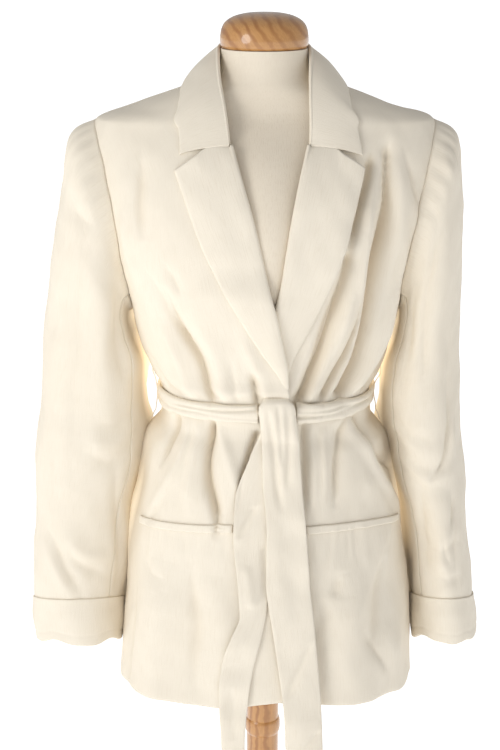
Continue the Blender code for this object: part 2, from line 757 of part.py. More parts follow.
def belt_loop(name, side, material):
    along = steps(LOOP.rows[0][0], LOOP.rows[-1][0], LOOP_POINTS)
    points = [body_spot(side * 90, LOOP.at(step, "z"), LOOP.at(step, "off")) for step in along]
    curve = bpy.data.curves.new(name, "CURVE")
    curve.dimensions = "3D"
    curve.bevel_depth = LOOP_RADIUS
    curve.bevel_resolution = 1
    curve.use_fill_caps = True
    spline = curve.splines.new("POLY")
    spline.points.add(len(points) - 1)
    for point, place in zip(spline.points, points):
        point.co = (*place, 1.0)
    curve.materials.append(material)
    loop = bpy.data.objects.new(name, curve)
    bpy.context.scene.collection.objects.link(loop)
    return loop


def form_torso(material):
    last_row = len(FORM_TORSO.rows) - 1
    bm = bmesh.new()
    bmesh.ops.create_grid(bm, x_segments=FORM_STEPS, y_segments=last_row, size=UNIT_GRID)
    for vert in bm.verts:
        turn = round((vert.co.x + UNIT_GRID) * FORM_STEPS) * 360 / FORM_STEPS
        z = FORM_TORSO.rows[round((vert.co.y + UNIT_GRID) * last_row)][0]
        fullness = between(FORM_FULLNESS, FORM_NECK_FULLNESS, eased((z - FORM_NECK_Z) / FORM_NECK_EASE))
        vert.co = ring_face(FORM_TORSO, turn, z, fullness)
    bmesh.ops.remove_doubles(bm, verts=bm.verts[:], dist=WELD)
    bmesh.ops.holes_fill(bm, edges=[edge for edge in bm.edges if edge.is_boundary], sides=0)
    return keep("form_torso", bm, material, 50)


def turned(name, profile, material, base_z=0.0):
    """A turned piece: its profile of (radius, height) swept round the stand's axis."""
    bm = bmesh.new()
    verts = [bm.verts.new((radius, 0.0, base_z + height)) for radius, height in profile]
    edges = [bm.edges.new(pair) for pair in zip(verts, verts[1:])]
    bmesh.ops.spin(
        bm,
        geom=verts + edges,
        cent=(0, 0, 0),
        axis=(0, 0, 1),
        angle=math.tau,
        steps=TURNED_STEPS,
        use_merge=True,
    )
    bmesh.ops.remove_doubles(bm, verts=bm.verts[:], dist=WELD)
    return keep(name, bm, material, 35)


def jacket(material):
    rows = list(range(HEM_ROW, SHOULDER_ROW + 1))
    columns = list(range(FRONT_COLUMNS + 1))
    last = NECK_COLUMNS + FRONT_COLUMNS
    cloth("back", list(range(-last, last + 1)), rows, back_spot, material)
    for side, name in ((-1, "right"), (1, "left")):
        cloth(f"front_{name}", columns, rows, lambda c, r, out: front_spot(side, c, r, out), material)
        cloth(
            f"lapel_{name}",
            steps(0, 1, 4),
            steps(0, LAPEL_ROWS, 9),
            lambda c, r, out: lapel_spot(side, c, r, out),
            material,
        )
        halves = {
            "upper": range(BACK_SEAM_STEP, FRONT_SEAM_STEP + SLEEVE_STEPS + 1),
            "under": range(FRONT_SEAM_STEP, BACK_SEAM_STEP + 1),
        }
        for half, around in halves.items():
            cloth(
                f"sleeve_{name}_{half}",
                list(around),
                SLEEVE_ROWS,
                lambda c, r, out: sleeve_spot(side, c, r, out),
                material,
            )
        cloth(
            f"cuff_{name}",
            list(range(SLEEVE_STEPS + 1)),
            SLEEVE_ROWS[SLEEVE_ROWS.index(CUFF_TOP_ROW) :],
            lambda c, r, out: cuff_spot(side, c, r, out),
            material,
            CUFF_CLOTH,
            True,
        )
        welt = LEFT_WELT if side > 0 else RIGHT_WELT
        cloth(
            f"pocket_welt_{name}",
            steps(welt.rows[0][0], welt.rows[-1][0], WELT_STEPS),
            (0, 1),
            lambda t, h, out: welt_spot(side, t, h, out),
            material,
            WELT_CLOTH,
        )
    last_place = 2 * COLLAR_MIDDLE_STEP
    cloth("collar_stand", list(range(1, last_place)), (0, 0.5, 1), stand_spot, material, STAND_CLOTH)
    cloth("collar_fall", list(range(last_place + 1)), (0, 0.25, 0.5, 0.75, 1), fall_spot, material)


def belt(material):
    cloth("belt_wrap", steps(*BELT_TURNS, BELT_STEPS), (-1, -0.5, 0.5, 1), belt_spot, material)
    knot(material)
    for name, table in (("over", OVER_TAIL), ("under", UNDER_TAIL)):
        heights = [row[0] for row in table.rows]
        cloth(
            f"belt_tail_{name}",
            (0, 0.5, 1),
            heights,
            lambda c, z, out: tail_spot(table, c, z, out),
            material,
        )
    belt_loop("belt_loop_right", -1, material)
    belt_loop("belt_loop_left", 1, material)


def dress_form(linen, wood, steel):
    torso_foot = FORM_TORSO.rows[0][0]
    form_torso(linen)
    turned("form_cap", CAP_PROFILE, wood, FORM_TORSO.rows[-1][0] + SEAM_GAP)
    flange_top = torso_foot - SEAM_GAP
    rod = (
        (0, ROD_FOOT_Z),
        (ROD_RADIUS, ROD_FOOT_Z),
        (ROD_RADIUS, flange_top - FLANGE_THICKNESS),
        (FLANGE_RADIUS, flange_top - FLANGE_THICKNESS),
        (FLANGE_RADIUS, flange_top),
        (0, flange_top),
    )
    turned("stand_rod", rod, steel)
    pole = (
        (0, POLE_FOOT_Z),
        (POLE_RADIUS, POLE_FOOT_Z),
        (POLE_RADIUS, BEAD_Z - BEAD_HALF_HEIGHT),
        (BEAD_RADIUS, BEAD_Z),
        (POLE_RADIUS, BEAD_Z + BEAD_HALF_HEIGHT),
        (POLE_RADIUS, POLE_TOP_Z - RIM_ROUND),
        (POLE_RADIUS - RIM_ROUND, POLE_TOP_Z),
        (BORE_RADIUS, POLE_TOP_Z),
        (BORE_RADIUS, BORE_FOOT_Z),
        (0, BORE_FOOT_Z),
    )
    turned("stand_pole", pole, wood)
    turned("stand_base", BASE_PROFILE, wood)


def main():
    clear_scene()
    linen_white = finish_of("ivory_cloth", LINEN_WHITE, 0.85)
    jacket(linen_white)
    belt(linen_white)
    dress_form(
        finish_of("form_linen", FORM_LINEN, 0.9),
        finish_of("varnished_pine", PINE, 0.3),
        finish_of("polished_steel", STEEL, 0.15, 1.0),
    )


main()
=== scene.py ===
# %% [markdown]
# A belted linen-look blazer with no buttons, resting on a limbless dress form: linen neck and bust, wooden
# cap, steel rod, wooden pole and foot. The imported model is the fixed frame. Every cloth piece below is a new,
# finer shell on the form of its own solid, so the sizes at the top repeat the part's own, in metres.

import math

import bmesh
import bpy
import numpy as np
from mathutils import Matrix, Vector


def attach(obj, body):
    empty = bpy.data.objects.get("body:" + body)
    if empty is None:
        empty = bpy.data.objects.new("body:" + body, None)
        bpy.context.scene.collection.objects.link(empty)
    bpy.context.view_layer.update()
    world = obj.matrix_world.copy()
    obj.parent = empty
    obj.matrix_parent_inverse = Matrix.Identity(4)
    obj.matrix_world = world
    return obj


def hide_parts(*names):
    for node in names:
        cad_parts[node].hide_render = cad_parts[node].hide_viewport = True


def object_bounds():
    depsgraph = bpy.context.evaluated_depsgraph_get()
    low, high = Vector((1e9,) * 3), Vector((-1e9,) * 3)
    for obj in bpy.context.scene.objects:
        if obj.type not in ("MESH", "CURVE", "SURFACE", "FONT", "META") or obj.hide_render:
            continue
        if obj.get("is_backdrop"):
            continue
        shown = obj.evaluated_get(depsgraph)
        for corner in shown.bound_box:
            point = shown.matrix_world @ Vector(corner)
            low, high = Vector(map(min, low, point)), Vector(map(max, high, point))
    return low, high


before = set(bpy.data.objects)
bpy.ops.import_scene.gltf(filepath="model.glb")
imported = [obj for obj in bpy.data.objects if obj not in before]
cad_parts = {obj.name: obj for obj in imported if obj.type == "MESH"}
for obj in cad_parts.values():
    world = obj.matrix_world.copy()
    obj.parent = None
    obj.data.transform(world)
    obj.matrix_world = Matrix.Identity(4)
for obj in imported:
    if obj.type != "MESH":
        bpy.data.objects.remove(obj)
CAD_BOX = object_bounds()
scene = bpy.context.scene
scene.view_settings.view_transform = "Standard"
print("CAD box", CAD_BOX)

# %% [markdown]
# A camera model needs only a place, a direction and a lens. The photograph looks slightly down on the form
# from chest height, from close by, so near things such as the sleeves look a little larger than far ones.

# %% Camera
CAMERA_PLACE = (-0.0171, -1.8525, 1.669)
CAMERA_DOWN = math.radians(17)
CAMERA_LENS = 72.96
camera_data = bpy.data.cameras.new("photo_camera")
camera_data.lens = CAMERA_LENS
camera_data.sensor_width = 36
camera = bpy.data.objects.new("photo_camera", camera_data)
camera.location = CAMERA_PLACE
camera.rotation_euler = (math.pi / 2 - CAMERA_DOWN, 0, 0)
scene.collection.objects.link(camera)
scene.camera = camera

# %% [markdown]
# A garment has few true sizes and many smooth curves between them. A small table with named columns holds the
# sizes in millimetres, a row for each section. A smooth curve that never overshoots joins the rows, as a
# tailor's curve would.

# %% Tables with a smooth curve between rows
NOT_LENGTHS = {"row", "step", "turn", "rim_turn"}


def numbers(text):
    """The rows of numbers in a text. A row ends with its line or with a semicolon."""
    return np.array([row.split() for row in text.replace(";", "\n").splitlines() if row.strip()], float)


class Table:
    """Named sizes against the first column, as text in millimetres or as an array in metres."""

    def __init__(self, columns, rows):
        self.columns = columns.split()
        if isinstance(rows, str):
            rows = numbers(rows) / [1 if name in NOT_LENGTHS else 1000 for name in self.columns]
        self.rows = rows

    def slopes(self, size):
        gaps = np.diff(self.rows[:, 0])
        pitch = np.diff(size) / gaps
        before, after = pitch[:-1], pitch[1:]
        same_way = before * after > 0
        safe_before, safe_after = np.where(same_way, before, 1), np.where(same_way, after, 1)
        mean = (gaps[:-1] + gaps[1:]) / (gaps[1:] / safe_before + gaps[:-1] / safe_after)
        return np.concatenate([pitch[:1], np.where(same_way, mean, 0), pitch[-1:]])

    def at(self, where, column):
        here = self.rows[:, 0]
        size = self.rows[:, self.columns.index(column)]
        slopes = self.slopes(size)
        where = np.clip(where, here[0], here[-1])
        k = np.clip(np.searchsorted(here, where) - 1, 0, len(here) - 2)
        gap = here[k + 1] - here[k]
        t = (where - here[k]) / gap
        return (
            (2 * t**3 - 3 * t**2 + 1) * size[k]
            + (t**3 - 2 * t**2 + t) * slopes[k] * gap
            + (3 * t**2 - 2 * t**3) * size[k + 1]
            + (t**3 - t**2) * slopes[k + 1] * gap
        )


def between(start, end, t):
    return start + (end - start) * t


def eased(t):
    t = np.clip(t, 0, 1)
    return t * t * (3 - 2 * t)


def stretches(*spans):
    """Values through stretches of (first, last, count of steps) that join."""
    return np.concatenate([np.linspace(a, b, count + 1)[:-1] for a, b, count in spans] + [[spans[-1][1]]])


def grid(across, along):
    """Two grids with every pair of these values. Three numbers stand for (first, last, count of steps)."""
    spread = [np.linspace(v[0], v[1], v[2] + 1) if isinstance(v, tuple) else v for v in (across, along)]
    return np.meshgrid(*spread, indexing="ij")


def hump(t):
    """0 at both ends and 1 in the middle."""
    return 4 * t * (1 - t)


def bell(distance, width):
    return np.exp(-((distance / width) ** 2))


def unit(vectors):
    return vectors / np.maximum(np.linalg.norm(vectors, axis=-1, keepdims=True), 1e-12)


# %% [markdown]
# The jacket's body is one surface of flat rings, squarer than an ellipse. A place on it is a turn from the
# front middle and a height. All the body's layers use this surface, each moved out by its own amount, so that
# fronts, lapels, pockets and belt keep their spacing wherever the cloth folds.

# %% The jacket's body as rings
CLOTH = 0.0020
SEAM_GAP = 0.0005
LAYER_GAP = 0.0015
FULLNESS = 2.3
BODY = Table("z centre half_width front back", """
    690 3.5 195.5 140 133
    790 5 188 135 130
    850 6 180.5 131 127
    910 5.5 173 126 122
    975 4 158 120 116
    1030 4 149 113 111
    1057 2.5 131.4 108 107
    1080 2.5 130.7 108 107
    1104 2.5 134 109 107
    1130 3 147.5 111 107
    1175 1.5 162.5 117 110
    1225 1 172.5 123 113
    1270 1 187 125 115
    1330 2 203 118 112
    1385 2 210 100 100
    1428 1 203.5 78 82
    1447 0 151.5 72 74
    1467 0 96 66 67
    1478 0 65.5 61 62
    1482 0 54.6 59 60
""")
SLIGHT_TURN = 0.5
SLIGHT_RISE = 0.0005


def ring_face(table, turn, z, fullness):
    across, forward = np.sin(np.radians(turn)), np.cos(np.radians(turn))
    depth = np.where(forward >= 0, table.at(z, "front"), table.at(z, "back"))
    reach = np.maximum(0, 1 - np.abs(across) ** fullness) ** (1 / fullness)
    x = table.at(z, "centre") + table.at(z, "half_width") * across
    y = -np.copysign(depth * reach, forward)
    return np.stack(np.broadcast_arrays(x, y, z), axis=-1)


def body_frame(turn, z):
    """The point of the unfolded body at this turn and height, and the way out of it."""
    left = ring_face(BODY, turn + SLIGHT_TURN, z, FULLNESS)
    right = ring_face(BODY, turn - SLIGHT_TURN, z, FULLNESS)
    above = ring_face(BODY, turn, z + SLIGHT_RISE, FULLNESS)
    below = ring_face(BODY, turn, z - SLIGHT_RISE, FULLNESS)
    return ring_face(BODY, turn, z, FULLNESS), unit(np.cross(left - right, above - below))


def turn_at(x, z):
    """The turn at which the front of the body is at this x."""
    across = (x - BODY.at(z, "centre")) / BODY.at(z, "half_width")
    return np.degrees(np.arcsin(np.clip(across, -1, 1)))


# %% [markdown]
# Cloth hung on a form folds where it has more width than the form, and where a belt, an armhole or a bent
# elbow gathers it. A physics drape would fold somewhere else than this jacket does, so each main fold is
# given one by one: a line of points, a width, a rise (below 0 for a trough), a lean that makes one side
# steeper, and its strength at both ends. Lines run from top to bottom, and a lean above 0 widens the side to
# the wearer's left on the front. Each row of a table of folds has "x z, x z, ... | width rise lean start end",
# with lengths in millimetres.

# %% Folds along drawn lines
LINE_STEPS = 26
FOLD_WIDTHS = 3  # a fold is felt this many of its widths away
STRONG_FROM, STRONG_TO = 0.35, 0.7  # shares of its line between which a fold has its full strength
FARTHEST_THROUGH, THROUGH_EASE = 0.036, 0.012
FULL_HOLLOW = 0.013  # a trough this deep is fully shaded
CORE_SHARE, CORE_WIDTH = 0.45, 0.34  # a trough is creased more sharply along its middle


def drawn(text):
    """(points, width, rise, lean, start, end) of each fold in a table of folds."""
    for row in text.strip().splitlines():
        if "#" not in row:
            line, sizes = row.split("|")
            width, rise, *shape = numbers(sizes)[0]
            yield numbers(line.replace(",", ";")) / 1000, width / 1000, rise / 1000, *shape


class Fold:
    """A soft trough or ridge along a line on a surface."""

    def __init__(self, line, width, rise, lean=0.0, start=0.0, end=0.0):
        self.line, self.width, self.rise, self.lean = line, width, rise, lean
        self.start, self.end = start, end
        self.core = CORE_SHARE if rise < 0 else 0.0
        self.along = unit(np.gradient(line, axis=0))

    def at(self, points, outward):
        """The fold's height at these points, and how deep in a trough each one is, from 0 to 1."""
        reach = FOLD_WIDTHS * self.width * (1 + abs(self.lean))
        low, high = self.line.min(axis=0) - reach, self.line.max(axis=0) + reach
        near = np.flatnonzero(((points > low) & (points < high)).all(axis=1))
        height, hollow = np.zeros(len(points)), np.zeros(len(points))
        if not len(near):
            return height, hollow
        offsets = points[near, None, :] - self.line[None, :, :]
        nearest = np.argmin((offsets**2).sum(axis=2), axis=1)
        offset = offsets[np.arange(len(near)), nearest]
        along = self.along[nearest]
        ahead = (offset * along).sum(axis=1)
        last = len(self.line) - 1
        beyond = np.where(nearest == 0, np.minimum(ahead, 0), 0)
        beyond = np.where(nearest == last, np.maximum(ahead, 0), beyond)
        out = outward[near]
        side = (np.cross(out, along) * offset).sum(axis=1)
        width = self.width * np.where(side > 0, 1 + self.lean, 1 - self.lean)
        strength = np.interp(nearest / last, (0, STRONG_FROM, STRONG_TO, 1), (self.start, 1, 1, self.end))
        across = (1 - self.core) * bell(side, width) + self.core * bell(side, width * CORE_WIDTH)
        shape = across * bell(beyond, self.width) * strength
        # A wide fold doesn't reach through the tube to its far side.
        through = np.abs((offset * out).sum(axis=1))
        shape = shape * eased((FARTHEST_THROUGH - through) / THROUGH_EASE)
        height[near] = self.rise * shape
        if self.rise < 0:
            hollow[near] = shape * min(1, -self.rise / FULL_HOLLOW)
        return height, hollow


def smooth_line(points):
    """A smooth curve through given points."""
    points = np.array(points, float)
    share = np.linspace(0, 1, len(points))
    table = Table("share x y z", np.column_stack([share, points]))
    along = np.linspace(0, 1, LINE_STEPS)
    return np.stack([table.at(along, name) for name in "xyz"], axis=-1)


def body_line(points, back=False):
    """A line drawn on the body by x and z, on its front or its back."""
    x, z = np.array(points, float).T
    turn = turn_at(x, z)
    return smooth_line(ring_face(BODY, 180 - turn if back else turn, z, FULLNESS))


# %% [markdown]
# The front's folds come first. Above the belt the bust's width runs into troughs that deepen towards the
# belt; the deepest comes down from the wearer's left armhole. Below the belt short folds open out into the
# skirt.

# %% The body's folds
FRONT_FOLDS = """
    # wearer's right, above the belt
    -147 1392, -144 1345, -141 1295 | 17 -6 .2 .3 .2
    -119 1264, -110 1245, -102 1229 | 10 -3.5 0 .2 .2
    -117 1222, -93 1165, -66 1106 | 10 -12.5 .5 .2 1
    -140 1255, -113 1201, -92 1175 | 11 -4.5 -.2 .2 .2
    -145 1150, -122 1118, -100 1102 | 7 -6 .2 .2 1
    -128 1200, -108 1150, -86 1108 | 9 6 0 0 1
    -88 1240, -70 1170, -45 1108 | 15 4.8 .2 0 1
    -12 1150, -9 1125, -6 1100 | 6.5 -10.5 .3 .1 1
    -23 1200, -8 1160, 2 1120 | 9 3.4 0 .2 .6
    -40 1160, -34 1130, -30 1106 | 7 -3.2 -.3 0 1
    -160 1340, -165 1290, -150 1230 | 12 4 0 .1 .1
    # wearer's left, above the belt
    97 1276, 81 1212, 66 1148, 41 1104 | 12 -20 .2 .8 1
    108 1250, 89 1176, 57 1106 | 8.5 7 0 .1 1
    118 1225, 104 1165, 75 1103 | 8.5 -12.5 -.3 .2 1
    121 1180, 99 1130, 83 1104 | 6 4 0 0 1
    150 1392, 147 1325, 139 1250, 126 1165, 98 1101 | 15 -31 -.25 .45 1
    172 1300, 163 1240, 150 1180, 122 1123, 106 1101 | 8.5 7.5 0 .1 .9
    125 1370, 128 1320, 121 1250, 109 1180 | 8 5.5 0 .2 .6
    121 1384, 114 1335, 98 1285 | 13 -15 0 .9 .2
    128 1380, 120 1320, 108 1270 | 12 4 0 .1 .1
    170 1400, 182 1360, 188 1325 | 9 -5 0 .3 .2
    172 1205, 155 1150, 126 1104 | 7.5 -10 .2 .1 1
    # wearer's right, below the belt
    -108 1072, -118 1040, -131 1005 | 7.5 -10 .2 1 .1
    -94 1078, -106 1020, -130 970, -152 930 | 8.5 5.2 -.3 1 .1
    -63 1072, -67 997, -62 935 | 8.5 -16 .4 1 .3
    -54 1066, -41 1030, -33 980 | 7 4.6 0 1 .1
    -82 1070, -86 1010, -90 950 | 9 5 0 1 .2
    -10 1062, -23 1018, -33 972 | 6.5 -11 .2 1 .2
    -125 980, -140 945, -150 925 | 12 -3 0 .2 .2
    # wearer's left, below the belt
    47 1074, 49 1020, 51 954 | 7 -7.5 .2 1 .1
    60 1074, 60 1010, 58 950 | 7 2.8 0 .8 .1
    101 1074, 90 1012, 86 955 | 9.5 -8 .2 1 .1
    96 1078, 134 1015, 164 947, 175 916 | 9.5 6.2 .2 1 .3
    113 1068, 142 1020, 165 970 | 8 -9.5 .2 1 .1
    112 1000, 136 985, 158 945 | 22 5 0 .2 .2
    76 1060, 75 1010, 73 965 | 6 3 0 1 .1
    # skirt
    154 890, 148 830, 138 770 | 20 -6 0 .1 .3
    126 800, 140 765, 160 732 | 10 -4.5 .2 .1 .1
    96 886, 93 865, 88 848 | 16 -4 0 .1 .1
    110 880, 108 800, 115 700 | 24 5.5 0 .1 1
    165 800, 172 750, 176 700 | 16 5 0 .1 1
    -92 898, -90 820, -85 735 | 20 -5.5 0 .1 .4
    -58 880, -52 790, -50 700 | 22 4.5 0 .1 1
    -130 885, -136 800, -140 700 | 22 6 0 .1 1
    -165 860, -172 790, -176 710 | 14 -5 0 .1 .8
    -152 880, -140 865, -120 862 | 12 -2.6 0 .1 .1
    75 850, 70 780, 72 705 | 20 -4.2 0 .1 .9
"""
# The back is out of sight: folds of the same kind, gathered by the belt, between two darts.
BACK_FOLDS = """
    -130 1360, -120 1260, -96 1160, -80 1100 | 13 -8.5 .2 .1 1
    -105 1300, -88 1200, -62 1100 | 13 5.5 0 .1 1
    -60 1270, -50 1190, -38 1100 | 11 -6 -.2 .1 1
    -20 1250, -18 1170, -16 1100 | 14 5 0 .1 1
    8 1230, 6 1160, 4 1100 | 9.5 -5.5 .1 .1 1
    35 1290, 30 1190, 26 1100 | 13 5 0 .1 1
    68 1280, 58 1180, 46 1100 | 11 -7 .2 .1 1
    100 1310, 86 1200, 70 1100 | 14 6 0 .1 1
    135 1370, 122 1260, 102 1160, 90 1100 | 13 -9.5 -.2 .2 1
    160 1280, 145 1190, 118 1105 | 10 6 0 .1 .9
    -155 1270, -140 1180, -112 1105 | 10 5.8 0 .1 .9
    -60 1405, 0 1398, 60 1405 | 13 -2.6 0 .2 .2
    -110 1070, -122 1020, -135 960 | 9 -6.5 0 1 .1
    -86 1070, -94 1000, -100 930 | 11 5.8 0 1 .1
    -58 1070, -64 1010, -70 920 | 10 -8 .3 1 .1
    -34 1070, -36 1000, -40 940 | 9 4.5 0 1 .1
    -6 1070, -8 1000, -8 900 | 10 -6 0 1 .1
    22 1070, 24 1010, 28 930 | 10 5 0 1 .1
    50 1070, 56 1000, 64 930 | 10 -7.5 -.2 1 .1
    80 1070, 88 1000, 100 920 | 11 6 0 1 .1
    108 1070, 124 1010, 140 950 | 9 -7 .2 1 .1
    -150 1040, -162 990, -170 940, -176 880 | 18 9.5 0 .4 .2
    150 1040, 162 990, 170 940, 176 880 | 18 9.5 0 .4 .2
    -110 880, -116 790, -120 700 | 24 -6.5 0 .1 1
    -50 900, -52 800, -50 700 | 26 6 0 .1 1
    10 900, 12 800, 10 700 | 22 -5.5 0 .1 1
    70 880, 76 790, 80 700 | 26 6 0 .1 1
    130 870, 136 780, 140 700 | 22 -6 0 .1 1
"""
DART_WIDTH, DART_DEPTH, DART_TOP, DART_END = 0.0016, -0.0011, 0.6, 0.3
DARTS = (
    (((0.069, 1.085), (0.069, 1.020), (0.069, 0.940)), False),
    (((-0.072, 1.085), (-0.072, 1.020), (-0.072, 0.946)), False),
    (((0.086, 1.195), (0.078, 1.140), (0.070, 1.090)), False),
    (((-0.086, 1.195), (-0.079, 1.140), (-0.073, 1.090)), False),
    (((0.074, 1.230), (0.068, 1.080), (0.074, 0.930)), True),
    (((-0.074, 1.230), (-0.068, 1.080), (-0.074, 0.930)), True),
)
body_folds = [Fold(body_line(points), *sizes) for points, *sizes in drawn(FRONT_FOLDS)]
body_folds += [Fold(body_line(points, True), *sizes) for points, *sizes in drawn(BACK_FOLDS)]
body_darts = []
for points, back in DARTS:
    body_darts.append(Fold(body_line(points, back), DART_WIDTH, DART_DEPTH, 0, DART_TOP, DART_END))
print(len(body_folds), "folds and", len(body_darts), "darts on the body")

# %% [markdown]
# Under each pocket welt the cloth hangs from the welt's seam in small gathers, a finger's width apart. Nobody
# would place those one by one: a loop spaces them unevenly from a fixed seed, so that each run is the same.

# %% Small gathers under the pockets
RIGHT_WELT = Table("turn z", """
    -73 919; -46 929; -31 933; -14.7 938
""")
LEFT_WELT = Table("turn z", """
    16.1 935; 31 934; 51 931; 75 921
""")
GATHER_PITCH, GATHER_SCATTER, GATHER_DRIFT = 0.0145, 0.0025, 0.004
GATHER_LENGTHS, GATHER_WIDTHS, GATHER_RISES = (0.022, 0.060), (0.0035, 0.0060), (0.0006, 0.0013)
WELT_Z, GATHER_BELOW_WELT = 0.93, 0.004
chance = np.random.default_rng(7)
for welt in (RIGHT_WELT, LEFT_WELT):
    turns = welt.rows[:, 0]
    ends = ring_face(BODY, turns[[0, -1]], welt.rows[[0, -1], 1], FULLNESS)[:, 0]
    count = int(abs(ends[1] - ends[0]) / GATHER_PITCH)
    for x in np.linspace(*ends, count + 2)[1:-1] + chance.normal(0, GATHER_SCATTER, count):
        top = float(welt.at(float(turn_at(x, WELT_Z)), "z")) - GATHER_BELOW_WELT
        length = chance.uniform(*GATHER_LENGTHS)
        drift = chance.normal(0, GATHER_DRIFT)
        rise = chance.choice((-1, 1)) * chance.uniform(*GATHER_RISES)
        points = ((x, top), (x + drift / 2, top - length / 2), (x + drift, top - length))
        body_folds.append(Fold(body_line(points), chance.uniform(*GATHER_WIDTHS), rise, 0, 0.9, 0.0))
print(len(body_folds), "folds with the gathers")

# %% [markdown]
# Between the folds cloth is never quite flat. A few sine waves in space, with fixed random directions, add
# that slight unevenness. It is small: a millimetre over a hand's width, and less over a finger's width.

# %% Slight unevenness
WAVES = 9
wave_chance = np.random.default_rng(21)
wave_ways = unit(wave_chance.normal(size=(WAVES, 3)))
wave_lengths = wave_chance.uniform(0.7, 1.5, WAVES)
wave_starts = wave_chance.uniform(0, math.tau, WAVES)


def uneven(points, length, size):
    """A smooth random height of about this size, whose waves are about this long."""
    total = np.zeros(points.shape[:-1])
    for way, share, start in zip(wave_ways, wave_lengths, wave_starts):
        total = total + np.sin(points @ (way / (length * share)) * math.tau + start)
    return total * size / math.sqrt(WAVES)


# %% [markdown]
# The belt presses everything flat. Within its height the folds almost vanish, and just above and below it
# they come back at full depth, which is what makes the cloth look gathered.

# %% The body's relief
BELT_FRONT_Z, BELT_BACK_Z = 1.087, 1.083
BELT_PRESS = 0.0165
PRESSED = 0.88
# A glow is painted at the body's sides, where light comes through: (height, how far it reaches, how strong).
BESIDE_TURN, BESIDE = 16.0, ((1.110, 0.075, 1.85), (0.930, 0.130, 1.45))
# How the cloth bulges over the belt's upper edge.
BLOUSE, BLOUSE_RISE, BLOUSE_WIDTH = 0.0028, 0.0275, 0.0115
UNFOLDED_Z, UNFOLDED_EASE = 1.470, 0.045  # no folds at the neck seam
SLOW_WAVE, SLOW_RISE = 0.085, 0.0016
QUICK_WAVE, QUICK_RISE = 0.024, 0.00035
WANDER_WAVE, WANDER = 0.07, 0.0035


def belt_middle(turn):
    return between(BELT_BACK_Z, BELT_FRONT_Z, (1 + np.cos(np.radians(turn))) / 2)


def relief(points, outward, folds, darts=()):
    """Height off the unfolded surface, and how hollow it is there, for flat lists of points."""
    wander = [uneven(points + shift, WANDER_WAVE, WANDER) for shift in (0, 1, 2)]
    wandered = points + np.stack(wander, axis=-1)
    height, hollow = np.zeros(len(points)), np.zeros(len(points))
    for fold in folds:
        rise, shade = fold.at(wandered, outward)
        height += rise
        hollow = np.maximum(hollow, shade)
    height += uneven(points, SLOW_WAVE, SLOW_RISE) + uneven(points, QUICK_WAVE, QUICK_RISE)
    seam = np.zeros(len(points))
    for dart in darts:
        seam += dart.at(points, outward)[0]
    return height, hollow, seam


def folded_body(turn, z):
    """(height, hollow) of the body's folds at these places, in the shape of turn."""
    turn, z = np.broadcast_arrays(np.asarray(turn, float), np.asarray(z, float))
    shape, turn, z = turn.shape, turn.ravel(), z.ravel()
    place, outward = body_frame(turn, z)
    height, hollow, seam = relief(place, outward, body_folds, body_darts)
    over_belt = z - belt_middle(turn)
    pressed = 1 - PRESSED * np.exp(-((over_belt / BELT_PRESS) ** 4))
    below_neck = eased((UNFOLDED_Z - z) / UNFOLDED_EASE)
    height = height * pressed * below_neck + seam + BLOUSE * bell(over_belt - BLOUSE_RISE, BLOUSE_WIDTH)
    from_side = np.abs(np.abs(turn) - 90)
    hollow = hollow * pressed
    # The mask paints shade in the troughs and, past 1, a glow at the sides.
    for middle, reach, glow in BESIDE:
        hollow = np.maximum(hollow, glow * bell(from_side, BESIDE_TURN) * bell(z - middle, reach))
    return height.reshape(shape), hollow.reshape(shape)


def body_spot(turn, z, out=0.0, folds=True):
    """A point of the jacket's body, moved out along the unfolded face by out and by the cloth's folds."""
    turn, z, out = np.broadcast_arrays(np.asarray(turn, float), np.asarray(z, float), np.asarray(out, float))
    place, outward = body_frame(turn, z)
    height = folded_body(turn, z)[0] if folds else 0.0
    return place + outward * (out + height)[..., None]


# %% [markdown]
# One function makes every sheet of cloth. It starts from bmesh's flat grid, moves each vertex to its place on
# the garment, and lays the piece's UV map in real metres, so that threads and stitches keep their size on
# every piece. A Solidify modifier then gives the wall its thickness, inwards, so the outer face stays put.

# %% Cloth sheets
UNIT_GRID = 0.5
WELD = 1e-6
SIDES = ((-1, "right"), (1, "left"))
FINE = 400  # steps that a length is measured in


def lengths_along(points, axis):
    """How far along each row of points lies, averaged over the other direction."""
    steps = np.linalg.norm(np.diff(points, axis=axis), axis=2).mean(axis=1 - axis)
    return np.concatenate([[0], np.cumsum(steps)])


def evenly(place, start, stop, count, across):
    """count + 1 values from start to stop, at even distances along place(across, value)."""
    fine = np.linspace(start, stop, FINE)
    points = place(np.full_like(fine, across), fine)
    distance = np.concatenate([[0], np.cumsum(np.linalg.norm(np.diff(points, axis=0), axis=1))])
    return np.interp(np.linspace(0, distance[-1], count + 1), distance, fine)


def from_ends(points):
    """How far each point of a grid is from the nearer end of its row."""
    return np.minimum(*(np.linalg.norm(points - points[[end]], axis=2) for end in (-1, 0)))


def new_piece(name, mesh, finish, node, body, slot):
    thing = bpy.data.objects.new(name, mesh)
    scene.collection.objects.link(thing)
    mesh.materials.append(finish)
    mesh.shade_smooth()
    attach(thing, body)
    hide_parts(node)
    return thing


